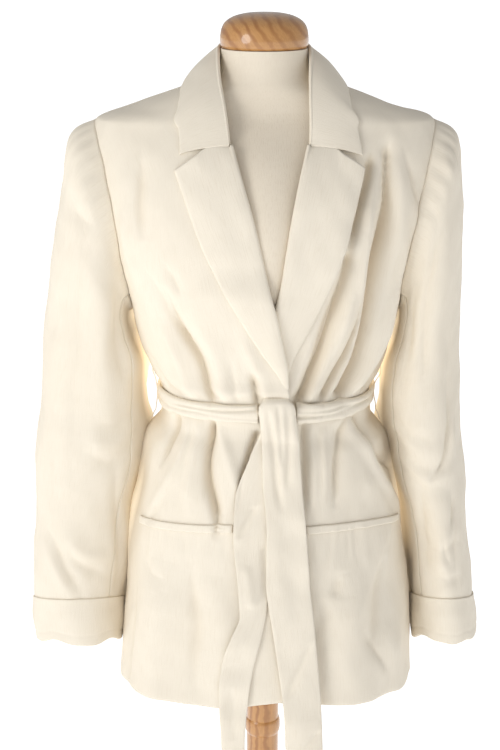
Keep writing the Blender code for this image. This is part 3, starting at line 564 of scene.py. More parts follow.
def grid_mesh(name, points, hollow, closed, inside):
    """The sheet's mesh. inside is a point on the lining side of the sheet's middle."""
    columns, rows = points.shape[0] - 1, points.shape[1] - 1
    bm = bmesh.new()
    bmesh.ops.create_grid(bm, x_segments=columns, y_segments=rows, size=UNIT_GRID)
    mesh = bpy.data.meshes.new(name)
    bm.to_mesh(mesh)
    bm.free()
    flat = np.empty(len(mesh.vertices) * 3)
    mesh.vertices.foreach_get("co", flat)
    flat = flat.reshape(-1, 3)
    column = np.rint((flat[:, 0] + UNIT_GRID) * columns).astype(int)
    row = np.rint((flat[:, 1] + UNIT_GRID) * rows).astype(int)
    mesh.vertices.foreach_set("co", points[column, row].ravel())
    corners = np.empty(len(mesh.loops), int)
    mesh.loops.foreach_get("vertex_index", corners)
    across, along = lengths_along(points, 0), lengths_along(points, 1)
    layer = mesh.uv_layers.new(name="UVMap")
    layer.data.foreach_set("uv", np.column_stack([across[column[corners]], along[row[corners]]]).ravel())
    shade = mesh.attributes.new("hollow", "FLOAT", "POINT")
    shade.data.foreach_set("value", hollow[column, row].astype(np.float32))
    mesh.update()
    middle = points[columns // 2, rows // 2]
    side = points[columns // 2 + 1, rows // 2] - middle
    up = points[columns // 2, rows // 2 + 1] - middle
    if np.dot(np.cross(side, up), middle - np.array(inside)) < 0:
        mesh.flip_normals()
    if closed:
        bm = bmesh.new()
        bm.from_mesh(mesh)
        bmesh.ops.remove_doubles(bm, verts=bm.verts[:], dist=WELD)
        bm.to_mesh(mesh)
        bm.free()
    return mesh


def sheet(name, points, hollow=None, wall=CLOTH, closed=False, inside=None):
    """A named sheet of cloth through a grid of points, which stands for the CAD solid of that name."""
    if hollow is None:
        hollow = np.zeros(points.shape[:2])
    if inside is None:
        inside = (0, 0, points[points.shape[0] // 2, points.shape[1] // 2, 2])
    mesh = grid_mesh(f"sewn_{name}", points, hollow, closed, inside)
    thing = new_piece(f"sewn_{name}", mesh, ivory, name, "bust", "ivory_cloth")
    solid = thing.modifiers.new("wall", "SOLIDIFY")
    solid.thickness = wall
    solid.offset = -1
    solid.use_even_offset = False
    solid.use_quality_normals = True
    area = sum(face.area for face in mesh.polygons)
    print(f"{name}: {len(mesh.polygons) * 4} triangles, {area:.4f} m2")
    return thing


def closed_piece(name, points, inside):
    """A cloth piece with no rim, through a grid whose first and last columns meet."""
    mesh = grid_mesh(f"sewn_{name}", points, np.zeros(points.shape[:2]), True, inside)
    new_piece(f"sewn_{name}", mesh, ivory, name, "bust", "ivory_cloth")
    print(f"{name}: {len(mesh.polygons)} faces")


# %% [markdown]
# The cloth is an ivory crepe with a slightly linen look: fine crossing threads, and here and there a thicker
# thread, a slub, which runs with the grain. Both materials of cloth share one weave group. It reads the
# piece's own UV map in metres and gives back a height for the bump and a mask for the colour.

# %% Weave group shared by the cloths
def group(name, inputs, outputs):
    tree = bpy.data.node_groups.new(name, "ShaderNodeTree")
    for kind, label, value in inputs:
        socket = tree.interface.new_socket(label, in_out="INPUT", socket_type=kind)
        if value is not None:
            socket.default_value = value
    for kind, label in outputs:
        tree.interface.new_socket(label, in_out="OUTPUT", socket_type=kind)
    return tree, tree.nodes.new("NodeGroupInput"), tree.nodes.new("NodeGroupOutput")


def fill(tree, made, inputs):
    """Give a node's inputs a value, or a link from a socket."""
    for where, source in inputs:
        place = made.inputs[where]
        if isinstance(source, bpy.types.NodeSocket):
            tree.links.new(source, place)
        else:
            place.default_value = source


def node(tree, kind, inputs=(), **settings):
    """A new node with its settings, its inputs filled."""
    made = tree.nodes.new(kind)
    for key, value in settings.items():
        setattr(made, key, value)
    fill(tree, made, inputs)
    return made


def maths(tree, operation, *values):
    return node(tree, "ShaderNodeMath", enumerate(values), operation=operation).outputs[0]


def stretched_noise(tree, place, scale_x, scale_y, detail=2.0, roughness=0.5):
    """Noise over the UV map, scale_x and scale_y of its grains to the metre."""
    scale = node(tree, "ShaderNodeCombineXYZ", ((0, scale_x), (1, scale_y), (2, 1.0)))
    spread = node(tree, "ShaderNodeVectorMath", ((0, place), (1, scale.outputs[0])), operation="MULTIPLY")
    inputs = (("Vector", spread.outputs[0]), ("Scale", 1.0), ("Detail", detail), ("Roughness", roughness))
    return node(tree, "ShaderNodeTexNoise", inputs, noise_dimensions="2D").outputs[0]


def remap(tree, value, low, high, to_low=0.0, to_high=1.0):
    inputs = ("Value", value), ("From Min", low), ("From Max", high), ("To Min", to_low), ("To Max", to_high)
    return node(tree, "ShaderNodeMapRange", inputs).outputs[0]


WOBBLE_GRAINS, WOBBLE = 260.0, 0.0012  # threads waver this much
FUZZ_GRAINS, MOTTLE_GRAINS = 1400.0, (9.0, 7.0)
THREAD_RISE, SLUB_RISE, FUZZ_RISE = 0.22, 0.75, 0.35
weave, weave_in, weave_out = group(
    "woven_threads",
    (
        ("NodeSocketVector", "Place", None),
        ("NodeSocketFloat", "Threads", 2200.0),
        ("NodeSocketFloat", "Slub Width", 1150.0),
        ("NodeSocketFloat", "Slub Length", 70.0),
    ),
    (("NodeSocketFloat", "Height"), ("NodeSocketFloat", "Slubs"), ("NodeSocketFloat", "Mottle")),
)
place = weave_in.outputs["Place"]
wobble = stretched_noise(weave, place, WOBBLE_GRAINS, WOBBLE_GRAINS)
parts = node(weave, "ShaderNodeSeparateXYZ", ((0, place),))
threads = []
for axis in (0, 1):
    pushed = maths(weave, "MULTIPLY_ADD", wobble, WOBBLE, parts.outputs[axis])
    turned = maths(weave, "MULTIPLY", pushed, weave_in.outputs["Threads"])
    threads.append(maths(weave, "SINE", maths(weave, "MULTIPLY", turned, math.pi)))
crossed = maths(weave, "MULTIPLY", threads[0], threads[1])
fuzz = stretched_noise(weave, place, FUZZ_GRAINS, FUZZ_GRAINS, 3.0)
slub_width, slub_length = weave_in.outputs["Slub Width"], weave_in.outputs["Slub Length"]
warp_slubs = stretched_noise(weave, place, slub_width, slub_length)
weft_slubs = stretched_noise(weave, place, slub_length, slub_width)
long_slubs = remap(weave, warp_slubs, 0.50, 0.78)
cross_slubs = remap(weave, weft_slubs, 0.58, 0.82, 0.0, 0.55)
slubs = maths(weave, "MAXIMUM", long_slubs, cross_slubs)
height = maths(weave, "MULTIPLY", crossed, THREAD_RISE)
height = maths(weave, "MULTIPLY_ADD", slubs, SLUB_RISE, height)
height = maths(weave, "MULTIPLY_ADD", fuzz, FUZZ_RISE, height)
mottle = stretched_noise(weave, place, *MOTTLE_GRAINS, 3.0)
fill(weave, weave_out, (("Height", height), ("Slubs", slubs), ("Mottle", mottle)))
print("weave group:", len(weave.nodes), "nodes")


# %% [markdown]
# A finish is a Principled shader. Cloth is rough, with a soft sheen at grazing angles from its fibres. In the
# troughs light arrives only through and between warmly coloured layers of cloth, so the colour there is
# painted darker and more golden, as shade: the mask for that was worked out with the folds and rides on the
# mesh. Where it is above 1, light comes through the cloth, and a faint emission paints that glow.

# %% Cloth finishes
def finish(name):
    material = bpy.data.materials.new(name)
    material.use_nodes = True
    return material, material.node_tree, material.node_tree.nodes["Principled BSDF"]


def blend_colours(tree, share, first, second):
    mix = node(tree, "ShaderNodeMix", data_type="RGBA", blend_type="MIX")
    fill(tree, mix, (("Factor", share), ("A", first), ("B", second)))
    return next(out for out in mix.outputs if out.type == "RGBA")


# Emission paints a glow where the mask is above 1; elsewhere the cloth stays unlit.
UNLIT, THROUGH = (0.0, 0.0, 0.0, 1.0), (1.0, 0.86, 0.62, 1.0)
THROUGH_STRENGTH = 0.85
# The last share is how far the troughs are painted towards the darker shade colour.
SLUB_TINT, MOTTLE_TINT, HOLLOW_PAINTED_SHADE = 0.42, 0.16, 0.62
CLOTH_ROUGH, SLUB_ROUGH = 0.86, 0.78
SHEEN_ROUGHNESS, CLOTH_SPECULAR, THREAD_DEPTH = 0.5, 0.25, 0.0004


def woven(name, light, dark, painted_shade, threads, slub_length, bump, sheen):
    material, tree, shader = finish(name)
    uv = node(tree, "ShaderNodeUVMap", uv_map="UVMap")
    grain = (("Place", uv.outputs[0]), ("Threads", threads), ("Slub Length", slub_length))
    cloth = node(tree, "ShaderNodeGroup", node_tree=weave)
    fill(tree, cloth, grain)
    colour = blend_colours(tree, remap(tree, cloth.outputs["Slubs"], 0, 1, 0, SLUB_TINT), light, dark)
    mottle = remap(tree, cloth.outputs["Mottle"], 0.3, 0.7, 0, MOTTLE_TINT)
    colour = blend_colours(tree, mottle, colour, dark)
    hollow = node(tree, "ShaderNodeAttribute", attribute_name="hollow").outputs["Fac"]
    # Painted shade: the troughs are blended towards a darker golden colour.
    colour = blend_colours(tree, remap(tree, hollow, 0.15, 1.0, 0, HOLLOW_PAINTED_SHADE), colour, painted_shade)
    # Painted glow: where the mask is above 1 the cloth emits a golden light.
    through = blend_colours(tree, remap(tree, hollow, 1.0, 2.0), UNLIT, THROUGH)
    threads_bump = (("Height", cloth.outputs["Height"]), ("Strength", bump), ("Distance", THREAD_DEPTH))
    look = (
        ("Base Color", colour),
        ("Emission Color", through),
        ("Emission Strength", THROUGH_STRENGTH),
        ("Roughness", remap(tree, cloth.outputs["Slubs"], 0, 1, CLOTH_ROUGH, SLUB_ROUGH)),
        ("Sheen Weight", sheen),
        ("Sheen Roughness", SHEEN_ROUGHNESS),
        ("Specular IOR Level", CLOTH_SPECULAR),
        ("Normal", node(tree, "ShaderNodeBump", threads_bump).outputs[0]),
    )
    fill(tree, shader, look)
    return material


IVORY_LIGHT = (0.885, 0.815, 0.695, 1.0)
IVORY_DARK = (0.800, 0.715, 0.580, 1.0)
# The darker golden colour that the troughs are painted towards, as shade.
IVORY_PAINTED_SHADE = (0.640, 0.530, 0.380, 1.0)
LINEN_LIGHT = (0.860, 0.775, 0.645, 1.0)
LINEN_DARK = (0.740, 0.635, 0.500, 1.0)
ivory = woven("ivory_crepe", IVORY_LIGHT, IVORY_DARK, IVORY_PAINTED_SHADE, 2000.0, 45.0, 0.32, 0.10)
linen = woven("form_linen_weave", LINEN_LIGHT, LINEN_DARK, LINEN_DARK, 1700.0, 110.0, 0.4, 0.06)

# %% [markdown]
# Each front runs from its side seam and armhole to its front edge, then up the roll line to the neck. The
# rows and columns are the part's own, only finer. Above the break the lapel is the front turned back, so the
# front's edge is drawn in a little there and the lapel's roll stands in its place.

# %% The front panels
UNDERARM_Z, SHOULDER_Z, NECK_Z = 1.195, 1.428, 1.478
NECK_HALF_WIDTH = 0.0655
UNDERARM_ROW, SHOULDER_ROW = 10, 20
ROLL_BREAK_Z = 1.240
NECK_GATHER = 2.314
FRONT_COLUMNS, NECK_COLUMNS = 8, 5
ARMHOLE = Table("z inset", """
    1195 0; 1225 4.5; 1262 10; 1325 18; 1376 15.5; 1400 11; 1428 0
""")
LOW_ROWS = Table("row side edge middle", """
    0 694 712 700
    1 775 787 775
    2 850 860 850
    3 915 925 915
    4 975 985 975
    5 1025 1036 1027
    6 1063 1073 1065
    7 1092 1102 1094
    8 1108 1118 1110
    9 1145 1168 1150
    10 1195 1240 1215
""")
RIGHT_EDGE = Table("z x", """
    700 41; 900 38; 1050 34; 1105 30; 1135 27; 1209 12.3; 1275 -4.3; 1331 -17.1; 1405 -40; 1430 -46
    1449 -51.5; 1463 -56.5; 1472 -61.2; 1477 -64.5; 1478 -65.5
""")
LEFT_EDGE = Table("z x", """
    700 -36; 1050 -34; 1105 -22; 1135 -6; 1209 12.3; 1228 19.2; 1312 32.7; 1385 46.5; 1405 52
    1430 52.5; 1449 54.8; 1463 58; 1472 61.8; 1477 64.5; 1478 65.5
""")
EDGE_DRAWN_IN = 0.0030
DRAW_LOW, DRAW_HIGH = (1.118, 0.020), (1.404, 0.012)
SEAM_DIP, SEAM_WIDTH = 0.0004, 0.0035
HEM_WAVE, HEM_WAVES = 0.0030, ((0.6, 5, 1.1), (0.4, 9, 0.4), (0.3, 14, 0.0))  # size; shares, turns, starts


def edges_of(side):
    return LEFT_EDGE if side > 0 else RIGHT_EDGE


def armhole_place(side, angle):
    """(turn, z) on the armhole seam: 0 is the shoulder, 90 the front, 180 the underarm, 270 the back."""
    z = between(UNDERARM_Z, SHOULDER_Z, (1 + np.cos(np.radians(angle))) / 2)
    turn = np.degrees(np.arcsin(np.clip(1 - ARMHOLE.at(z, "inset") / BODY.at(z, "half_width"), -1, 1)))
    return side * np.where(np.mod(angle, 360) > 180, 180 - turn, turn), z


def side_place(side, row, on_front):
    """(turn, z) on the side seam, or above it on the front or back half of the armhole."""
    angle = 180 * (SHOULDER_ROW - row) / (SHOULDER_ROW - UNDERARM_ROW)
    angle = np.clip(angle, 0, 180)
    turn, z = armhole_place(side, angle if on_front else 360 - angle)
    low = row <= UNDERARM_ROW
    return np.where(low, side * 90.0, turn), np.where(low, LOW_ROWS.at(row, "side"), z)


def neck_row_z(row):
    below = np.clip((SHOULDER_ROW - row) / (SHOULDER_ROW - UNDERARM_ROW), 0, 1)
    return NECK_Z - (NECK_Z - ROLL_BREAK_Z) * below**NECK_GATHER


def edge_place(side, row):
    """(turn, z) on the front edge, roll line or neckline."""
    z = np.where(row <= UNDERARM_ROW, LOW_ROWS.at(row, "edge"), neck_row_z(row))
    drawn_in = EDGE_DRAWN_IN * eased((z - DRAW_LOW[0]) / DRAW_LOW[1])
    drawn_in = drawn_in * eased((DRAW_HIGH[0] - z) / DRAW_HIGH[1])
    return turn_at(edges_of(side).at(z, "x") + side * drawn_in, z), z


CROSSING_LIFT, CROSSING_X, CROSSING_EASE = 0.0036, -0.100, 0.058
CROSSING_TOP_Z, CROSSING_TOP_EASE = 1.275, 0.045
LAPEL_LIFT, LAPEL_FOOT_Z, LAPEL_FOOT_EASE = 0.0044, 1.102, 0.016


def crossing(x):
    """0 at the wearer's right side, 1 where the fronts cross."""
    return eased((x - CROSSING_X) / CROSSING_EASE)


def front_lift(x, z):
    """How far the upper front stands off the body's surface."""
    over_lapel = eased((z - LAPEL_FOOT_Z) / LAPEL_FOOT_EASE)
    low = eased((CROSSING_TOP_Z - z) / CROSSING_TOP_EASE)
    return crossing(x) * low * (CROSSING_LIFT + LAPEL_LIFT * over_lapel)


def hem_wave(turn):
    """The hem is never quite level."""
    angle = np.radians(turn)
    return HEM_WAVE * sum(share * np.sin(turns * angle + start) for share, turns, start in HEM_WAVES)


def seam_dip(distance):
    return -SEAM_DIP * bell(distance, SEAM_WIDTH)


def front_place(side, column, row):
    inner_turn, inner_z = edge_place(side, row)
    outer_turn, outer_z = side_place(side, row, True)
    share = column / FRONT_COLUMNS
    turn, z = between(inner_turn, outer_turn, share), between(inner_z, outer_z, share)
    return turn, z + hem_wave(turn) * eased(1 - row)


def front_points(side, column, row, out=0.0):
    turn, z = front_place(side, column, row)
    lift = front_lift(body_spot(turn, z, folds=False)[..., 0], z) if side < 0 else 0.0
    return body_spot(turn, z, lift + out)


def panel(place_of, column_count, row_count, columns, rows, mid_column):
    """Columns and rows of a panel, its rows at even distances along the given column."""
    return grid((*columns, column_count), evenly(place_of, *rows, row_count, mid_column))


# The topstitched line in front of the shoulder seam: its place, depth and width.
STITCH_PLACE, STITCH_DIP, STITCH_WIDTH = 0.0080, 0.0005, 0.0013
FRONT_GRID = 92, 250
for side, name in SIDES:
    flat = lambda column, row: body_spot(*front_place(side, column, row), folds=False)
    column, row = panel(flat, *FRONT_GRID, (0, FRONT_COLUMNS), (0, SHOULDER_ROW), FRONT_COLUMNS / 2)
    turn, z = front_place(side, column, row)
    plain = flat(column, row)
    to_side = np.linalg.norm(plain - plain[-1:, :], axis=2)
    to_shoulder = np.linalg.norm(plain - plain[:, -1:], axis=2)
    stitched = STITCH_DIP * bell(to_shoulder - STITCH_PLACE, STITCH_WIDTH)
    out = seam_dip(to_side) + seam_dip(to_shoulder) - stitched
    sheet(f"front_{name}", front_points(side, column, row, out), folded_body(turn, z)[1])

# %% [markdown]
# The back is one panel from hem to neck. Its columns keep five for each half of the neck and eight for each
# shoulder, as the fronts' do, so the shoulder seams and side seams meet point for point.

# %% The back panel
BACK_MIDDLE_DROP, BACK_GATHER = 0.263, 1.3
BACK_GRID, BACK_MID_COLUMN = (168, 200), 7


def back_place(column, row):
    side, step = np.where(column >= 0, 1, -1), np.abs(column)
    neck_share = NECK_COLUMNS / (NECK_COLUMNS + FRONT_COLUMNS)
    low = row <= UNDERARM_ROW
    below = np.clip((SHOULDER_ROW - row) / (SHOULDER_ROW - UNDERARM_ROW), 0, 1)
    outer_turn, outer_z = side_place(1, row, False)
    low_turn = 180 - 90 * neck_share
    straight_z = between(LOW_ROWS.at(UNDERARM_ROW, "middle"), UNDERARM_Z, neck_share)
    rise = eased(row / UNDERARM_ROW) * (ROLL_BREAK_Z - straight_z)
    low_corner_z = between(LOW_ROWS.at(row, "middle"), LOW_ROWS.at(row, "side"), neck_share) + rise
    corner_z = np.where(low, low_corner_z, neck_row_z(row))
    low_x = BODY.at(ROLL_BREAK_Z, "half_width") * math.sin(math.radians(low_turn))
    corner_x = between(NECK_HALF_WIDTH, low_x, below**2)
    high_turn = 180 - np.degrees(np.arcsin(np.clip(corner_x / BODY.at(corner_z, "half_width"), 0, 1)))
    corner_turn = np.where(low, low_turn, high_turn)
    middle_z = np.where(low, LOW_ROWS.at(row, "middle"), NECK_Z - BACK_MIDDLE_DROP * below**BACK_GATHER)
    inner, outer = step / NECK_COLUMNS, (step - NECK_COLUMNS) / FRONT_COLUMNS
    by_neck = step <= NECK_COLUMNS
    turn = np.where(by_neck, between(180.0, corner_turn, inner), between(corner_turn, outer_turn, outer))
    z = np.where(by_neck, between(middle_z, corner_z, inner), between(corner_z, outer_z, outer))
    return side * turn, z + hem_wave(180 - turn) * eased(1 - row)


last_column = NECK_COLUMNS + FRONT_COLUMNS
flat_back = lambda column, row: body_spot(*back_place(column, row), folds=False)
column, row = panel(flat_back, *BACK_GRID, (-last_column, last_column), (0, SHOULDER_ROW), BACK_MID_COLUMN)
turn, z = back_place(column, row)
plain = flat_back(column, row)
to_shoulder = np.linalg.norm(plain - plain[:, -1:], axis=2)
dip = seam_dip(from_ends(plain)) + seam_dip(to_shoulder)
sheet("back", body_spot(turn, z, dip), folded_body(turn, z)[1])

# %% [markdown]
# The collar has a stand, which rises from the neck seam, and a fall, which turns over at the crest and lies
# on the shoulders. The fall is drawn in three stretches: down inside the neck, half a turn over the crest,
# and out to its rim. The stand starts where the fall's inner stretch ends, at their seam.

# %% The collar
COLLAR = Table("step crest_x crest_y crest_z rim_turn rim_z", """
    0 47.5 -90.5 1409 30.4 1396
    1 49.5 -83 1433 30.2 1409
    2 51.5 -72 1456 30.5 1424
    3 54 -57.5 1476 35.1 1437
    4 56 -40 1493 44.7 1450
    5 57.2 -20 1506 61.4 1461
    6 57.5 0 1512.5 90 1466.5
    7 54.7 20 1516 122 1462.5
    8 46.5 36.5 1518 140 1458
    9 33.8 49.5 1519.5 153.6 1454.5
    10 17.8 57.5 1520.5 167.4 1452
    11 0 60 1521 180 1451.5
""")
SHOULDER_STEP, MIDDLE_STEP = 6, 11
COLLAR_SHIFT, SHIFT_STEPS = 0.0060, 4
RIM_GAP = 0.0018
CREST_RADIUS = 0.0024
LIP_SHARE = 0.30  # of the way down from the crest to the neck seam
FALL_BOW, FALL_BOW_FADE = 0.0036, 0.3
FALL_RIM_DIP, FALL_RIM_SHARE = 0.0006, 0.03  # its rim turns down over this share of the fall
FALL_WAVE, FALL_WAVE_RISE = 0.05, 0.0009
FALL_WALL, STAND_WALL = 0.0018, 0.0012
STAND_SEAM = 0.012
UP = np.array((0.0, 0.0, 1.0))


def collar_side(place):
    right = place <= MIDDLE_STEP
    return np.where(right, -1, 1), np.where(right, place, 2 * MIDDLE_STEP - place)


def collar_shift(step):
    return COLLAR_SHIFT * eased(1 - step / SHIFT_STEPS)


def collar_crest(place):
    side, step = collar_side(place)
    x = side * COLLAR.at(step, "crest_x") + collar_shift(step)
    return np.stack([x, COLLAR.at(step, "crest_y"), COLLAR.at(step, "crest_z")], axis=-1)


def collar_rim(place):
    side, step = collar_side(place)
    spot = body_spot(side * COLLAR.at(step, "rim_turn"), COLLAR.at(step, "rim_z"), RIM_GAP + CLOTH)
    return spot + np.stack([collar_shift(step), 0 * step, 0 * step], axis=-1)


def neckline(place):
    side, step = collar_side(place)
    share = (step - SHOULDER_STEP) / NECK_COLUMNS
    row = np.clip(SHOULDER_ROW - SHOULDER_STEP + step, 0, SHOULDER_ROW)
    right_turn, right_z = edge_place(-1, row)
    left_turn, left_z = edge_place(1, row)
    turn, z = np.where(side > 0, left_turn, right_turn), np.where(side > 0, left_z, right_z)
    behind = step > SHOULDER_STEP
    turn = np.where(behind, side * between(90, 180, np.clip(share, 0, 1)), turn)
    return body_spot(turn, np.where(behind, NECK_Z, z), 0.0)


def inward_of(crest):
    return -unit(crest * (1.0, 1.0, 0.0))


def inner_face(place, share):
    """The collar's face towards the neck: share 0 is the crest's inner side, 1 the neck seam."""
    crest = collar_crest(place)
    top = crest + inward_of(crest) * (2 * CREST_RADIUS) - UP * CREST_RADIUS
    foot = neckline(place) + inward_of(crest) * (CLOTH * 0.5)
    return between(top, foot, share[..., None])


def fall_points(place, path):
    """path: -2 at the inner seam, -1 on the crest's inner side, 0 on its outer side, 1 at the rim."""
    crest = collar_crest(place)
    inward = inward_of(crest)
    middle = crest + inward * CREST_RADIUS - UP * CREST_RADIUS
    angle = (math.pi * np.clip(-path, 0, 1))[..., None]
    over = middle + CREST_RADIUS * (UP * np.sin(angle) - inward * np.cos(angle))
    down = np.clip(path, 0, 1)[..., None]
    start = crest - UP * CREST_RADIUS
    rim = collar_rim(place)
    rim_dip = FALL_RIM_DIP * bell(1 - down, FALL_RIM_SHARE)
    bow = (FALL_BOW * hump(down) * (1 - FALL_BOW_FADE * down) - rim_dip) * (UP - 0.5 * inward)
    straight = between(start, rim, down)
    outside = straight + bow + uneven(straight, FALL_WAVE, FALL_WAVE_RISE)[..., None] * hump(down) * UP
    inside = inner_face(place, LIP_SHARE * np.clip(-1 - path, 0, 1))
    path = path[..., None]
    return np.where(path > 0, outside, np.where(path > -1, over, inside))


place, path = grid((0, 2 * MIDDLE_STEP, 200), stretches((-2, -1, 8), (-1, 0, 12), (0, 1, 40)))
below_crest = collar_crest(np.array([float(MIDDLE_STEP)]))[0] - (0, 0.004, 0.05)
sheet("collar_fall", fall_points(place, path), wall=FALL_WALL, inside=below_crest)
stand = inner_face(*grid((1, 2 * MIDDLE_STEP - 1, 180), (LIP_SHARE + STAND_SEAM, 1, 20)))
sheet("collar_stand", stand, wall=STAND_WALL, inside=(0, 0.3, 1.49))

# %% [markdown]
# A lapel isn't a flat flap with a cut inner edge: the front's cloth comes up from under it, goes round a soft
# roll and lies back on the front. So the lapel's grid starts on the roll's underside, takes half a turn round
# it, and then crosses to the lapel's own edge, which stands off the front a little and throws a fine shadow.

# %% The lapels
RIGHT_LAPEL = Table("row roll_z roll_x edge_z edge_x", """
    -1 1112 29.2 1111 27.6
    0 1142 25.2 1138 16.5
    1 1172 19 1166 -2
    2 1209 11.5 1200 -22
    3 1245 2 1235 -43
    4 1285 -7 1270 -62
    5 1325 -16.5 1308 -80
    6 1365 -28.5 1345 -93
    7 1406 -40.5 1379 -104.5
""")
LEFT_LAPEL = Table("row roll_z roll_x edge_z edge_x", """
    -1 1112 -20 1110 -17
    0 1142 -3.5 1130 23.5
    1 1172 4 1160 36
    2 1209 12.5 1195 54
    3 1245 22 1230 70
    4 1285 28.5 1270 86
    5 1325 35 1308 98
    6 1365 43 1345 108
    7 1406 53 1381 115.5
""")
LAPEL_ROWS = 7
GORGE_ROW = 6.45  # from here up the lapel bends to meet the end of the collar
NOTCH_SHARE, NOTCH_EASE = 0.60, 0.16  # where the gorge seam ends and the notch opens
NOTCH_RISE = 0.0065
ROLL_SHARE = 0.16  # of the lapel's columns go round the roll
ROLL_PUFF, ROLL_PUFF_WIDTH = 0.0030, 0.014
LAPEL_BOW = 0.0030
EDGE_LIFT = {-1: 0.0, 1: 0.0105}
EDGE_PRESSED = {-1: 0.0008, 1: 0.0004}  # the lapel's edge is pressed this much nearer the front
EDGE_TURN = 0.0016  # the sewn edge turns down over this width
OPENING_ROWS = 1.6  # the roll opens over the lapel's first rows
NARROW_BOW, CLOSED_TOP = 0.05, -0.0012
EDGE_LIFT_ROW, EDGE_LIFT_ROWS = 1.5, 5
LAPEL_WALL, LAPEL_SHADE = 0.0016, 0.5


def lapel_points(side, share, row):
    """share runs from 0 on the roll's underside, past the roll at ROLL_SHARE, to 1 at the lapel's edge."""
    table = LEFT_LAPEL if side > 0 else RIGHT_LAPEL
    sizes = {name: table.at(row, name) for name in table.columns[1:]}
    across = np.clip((share - ROLL_SHARE) / (1 - ROLL_SHARE), 0, 1)
    width = np.hypot(sizes["edge_x"] - sizes["roll_x"], sizes["edge_z"] - sizes["roll_z"])
    opened = eased((row + 1) / OPENING_ROWS)
    x = between(sizes["roll_x"], sizes["edge_x"], across)
    z = between(sizes["roll_z"], sizes["edge_z"], across)
    z = z + NOTCH_RISE * (1 - np.abs(2 * across - 1)) * np.maximum(0.0, row - LAPEL_ROWS + 1)
    puff = ROLL_PUFF * opened * bell(across * width, ROLL_PUFF_WIDTH)
    bow = np.minimum(LAPEL_BOW, NARROW_BOW * width) * hump(across)
    lift = EDGE_LIFT[side] * across**3 * eased((row - EDGE_LIFT_ROW) / EDGE_LIFT_ROWS)
    lift = lift - EDGE_PRESSED[side] * eased(across)
    edge_drop = -EDGE_TURN / 2 * bell((1 - across) * width, EDGE_TURN)
    top = between(CLOSED_TOP, LAYER_GAP + CLOTH, opened) + puff
    angle = math.pi * np.clip(share / ROLL_SHARE, 0, 1) - math.pi / 2
    radius = (top + CLOTH) / 2
    round_roll = share < ROLL_SHARE
    out = np.where(round_roll, -CLOTH + radius * (1 + np.sin(angle)), top + bow + lift + edge_drop)
    beyond = np.where(round_roll, radius * np.cos(angle), 0.0)
    away = 1 / np.maximum(width, 1e-6)
    x = x + beyond * (sizes["roll_x"] - sizes["edge_x"]) * away
    z = z + beyond * (sizes["roll_z"] - sizes["edge_z"]) * away
    raised = front_lift(x, z) if side < 0 else 0.0
    turn = turn_at(x, z)
    points = body_spot(turn, z, raised + out)
    gorge = fall_points(np.where(side > 0, 2 * MIDDLE_STEP, 0) + 0 * across, np.maximum(across, 0.001))
    joined = eased((row - GORGE_ROW) / (LAPEL_ROWS - GORGE_ROW)) * eased((NOTCH_SHARE - across) / NOTCH_EASE)
    joined = np.where(round_roll, 0.0, joined)[..., None]
    return between(points, gorge, joined), folded_body(turn, z)[1]


for side, name in SIDES:
    share, row = grid(stretches((0, ROLL_SHARE, 12), (ROLL_SHARE, 1, 54)), (-1, LAPEL_ROWS, 160))
    points, hollow = lapel_points(side, share, row)
    sheet(f"lapel_{name}", points, hollow * LAPEL_SHADE, wall=LAPEL_WALL)

# %% [markdown]
# A set-in sleeve is drawn round a bent line. Its rings start on the armhole seam and turn into flat ovals
# that follow the arm. The folds are drawn on the flat photograph by x and z, front or back, and each is put
# on the sleeve by looking for the nearest point of the sleeve's own surface.

# %% The sleeves' form
RIGHT_SLEEVE = Table("row in_x in_z out_x out_z depth back", """
    0 166.5 1195 203.5 1428 58 0
    1 167.5 1189 233 1404 65 0
    2 167 1178 250 1335 66 0
    3 162.5 1155 262 1262 63 2
    4 153 1115 274 1180 58 4
    5 153 1065 287 1075 54 5
    6 156 1000 294 1000 52 5
    7 174 930 298.5 930 51 5
    8 182 860 301.5 860 49 4
    9 190.5 794 304 794 47 3
    10 194.5 735 297.5 735 45 2
""")
LEFT_SLEEVE = Table("row in_x in_z out_x out_z depth back", """
    0 167.5 1195 203.5 1428 58 0
    1 168.5 1191 234 1405 65 0
    2 168 1179 243 1335 67 0
    3 164 1155 246.5 1262 65 2
    4 154.5 1115 247.5 1180 62 4
    5 153 1065 251 1075 61 5
    6 164 1000 258 1000 61 5
    7 183 930 264.5 930 61 5
    8 194.5 860 272.5 860 60 4
    9 201 800 278 800 59 3
    10 205.5 742 281 742 57 2
""")
SLEEVE_STEPS = 20
FRONT_SEAM_STEP, BACK_SEAM_STEP = 8, 13
ARMHOLE_REACH = 2.0
CUFF_TOP_ROW, SLEEVE_END_ROW = 9, 10
SLEEVE_NEARBY = (0.02, 0.01)
END_TILT, TILT_ROW, TILT_ROWS = 0.016, 6.0, 3.0  # a sleeve's end is higher in front


def sleeve_ring(side, step, row):
    table = LEFT_SLEEVE if side > 0 else RIGHT_SLEEVE
    angle = np.radians(step * 360 / SLEEVE_STEPS)
    across, forward = np.cos(angle), np.sin(angle)
    sizes = {name: table.at(row, name) for name in table.columns[1:]}
    x = (sizes["in_x"] + sizes["out_x"]) / 2 + across * (sizes["out_x"] - sizes["in_x"]) / 2
    z = (sizes["in_z"] + sizes["out_z"]) / 2 + across * (sizes["out_z"] - sizes["in_z"]) / 2
    z = z + END_TILT * eased((row - TILT_ROW) / TILT_ROWS) * forward
    return np.stack(np.broadcast_arrays(side * x, sizes["back"] - sizes["depth"] * forward, z), axis=-1)


def sleeve_face(side, step, row, folds=False):
    row = np.maximum(0.0, row)
    turn, z = armhole_place(side, np.mod(step * 360 / SLEEVE_STEPS, 360))
    reach = np.where(row < ARMHOLE_REACH, (1 - row / ARMHOLE_REACH) ** 2, 0.0)[..., None]
    seam = body_spot(turn, z, -SEAM_DIP if folds else 0.0, folds)
    return sleeve_ring(side, step, row) + (seam - sleeve_ring(side, step, 0 * row)) * reach


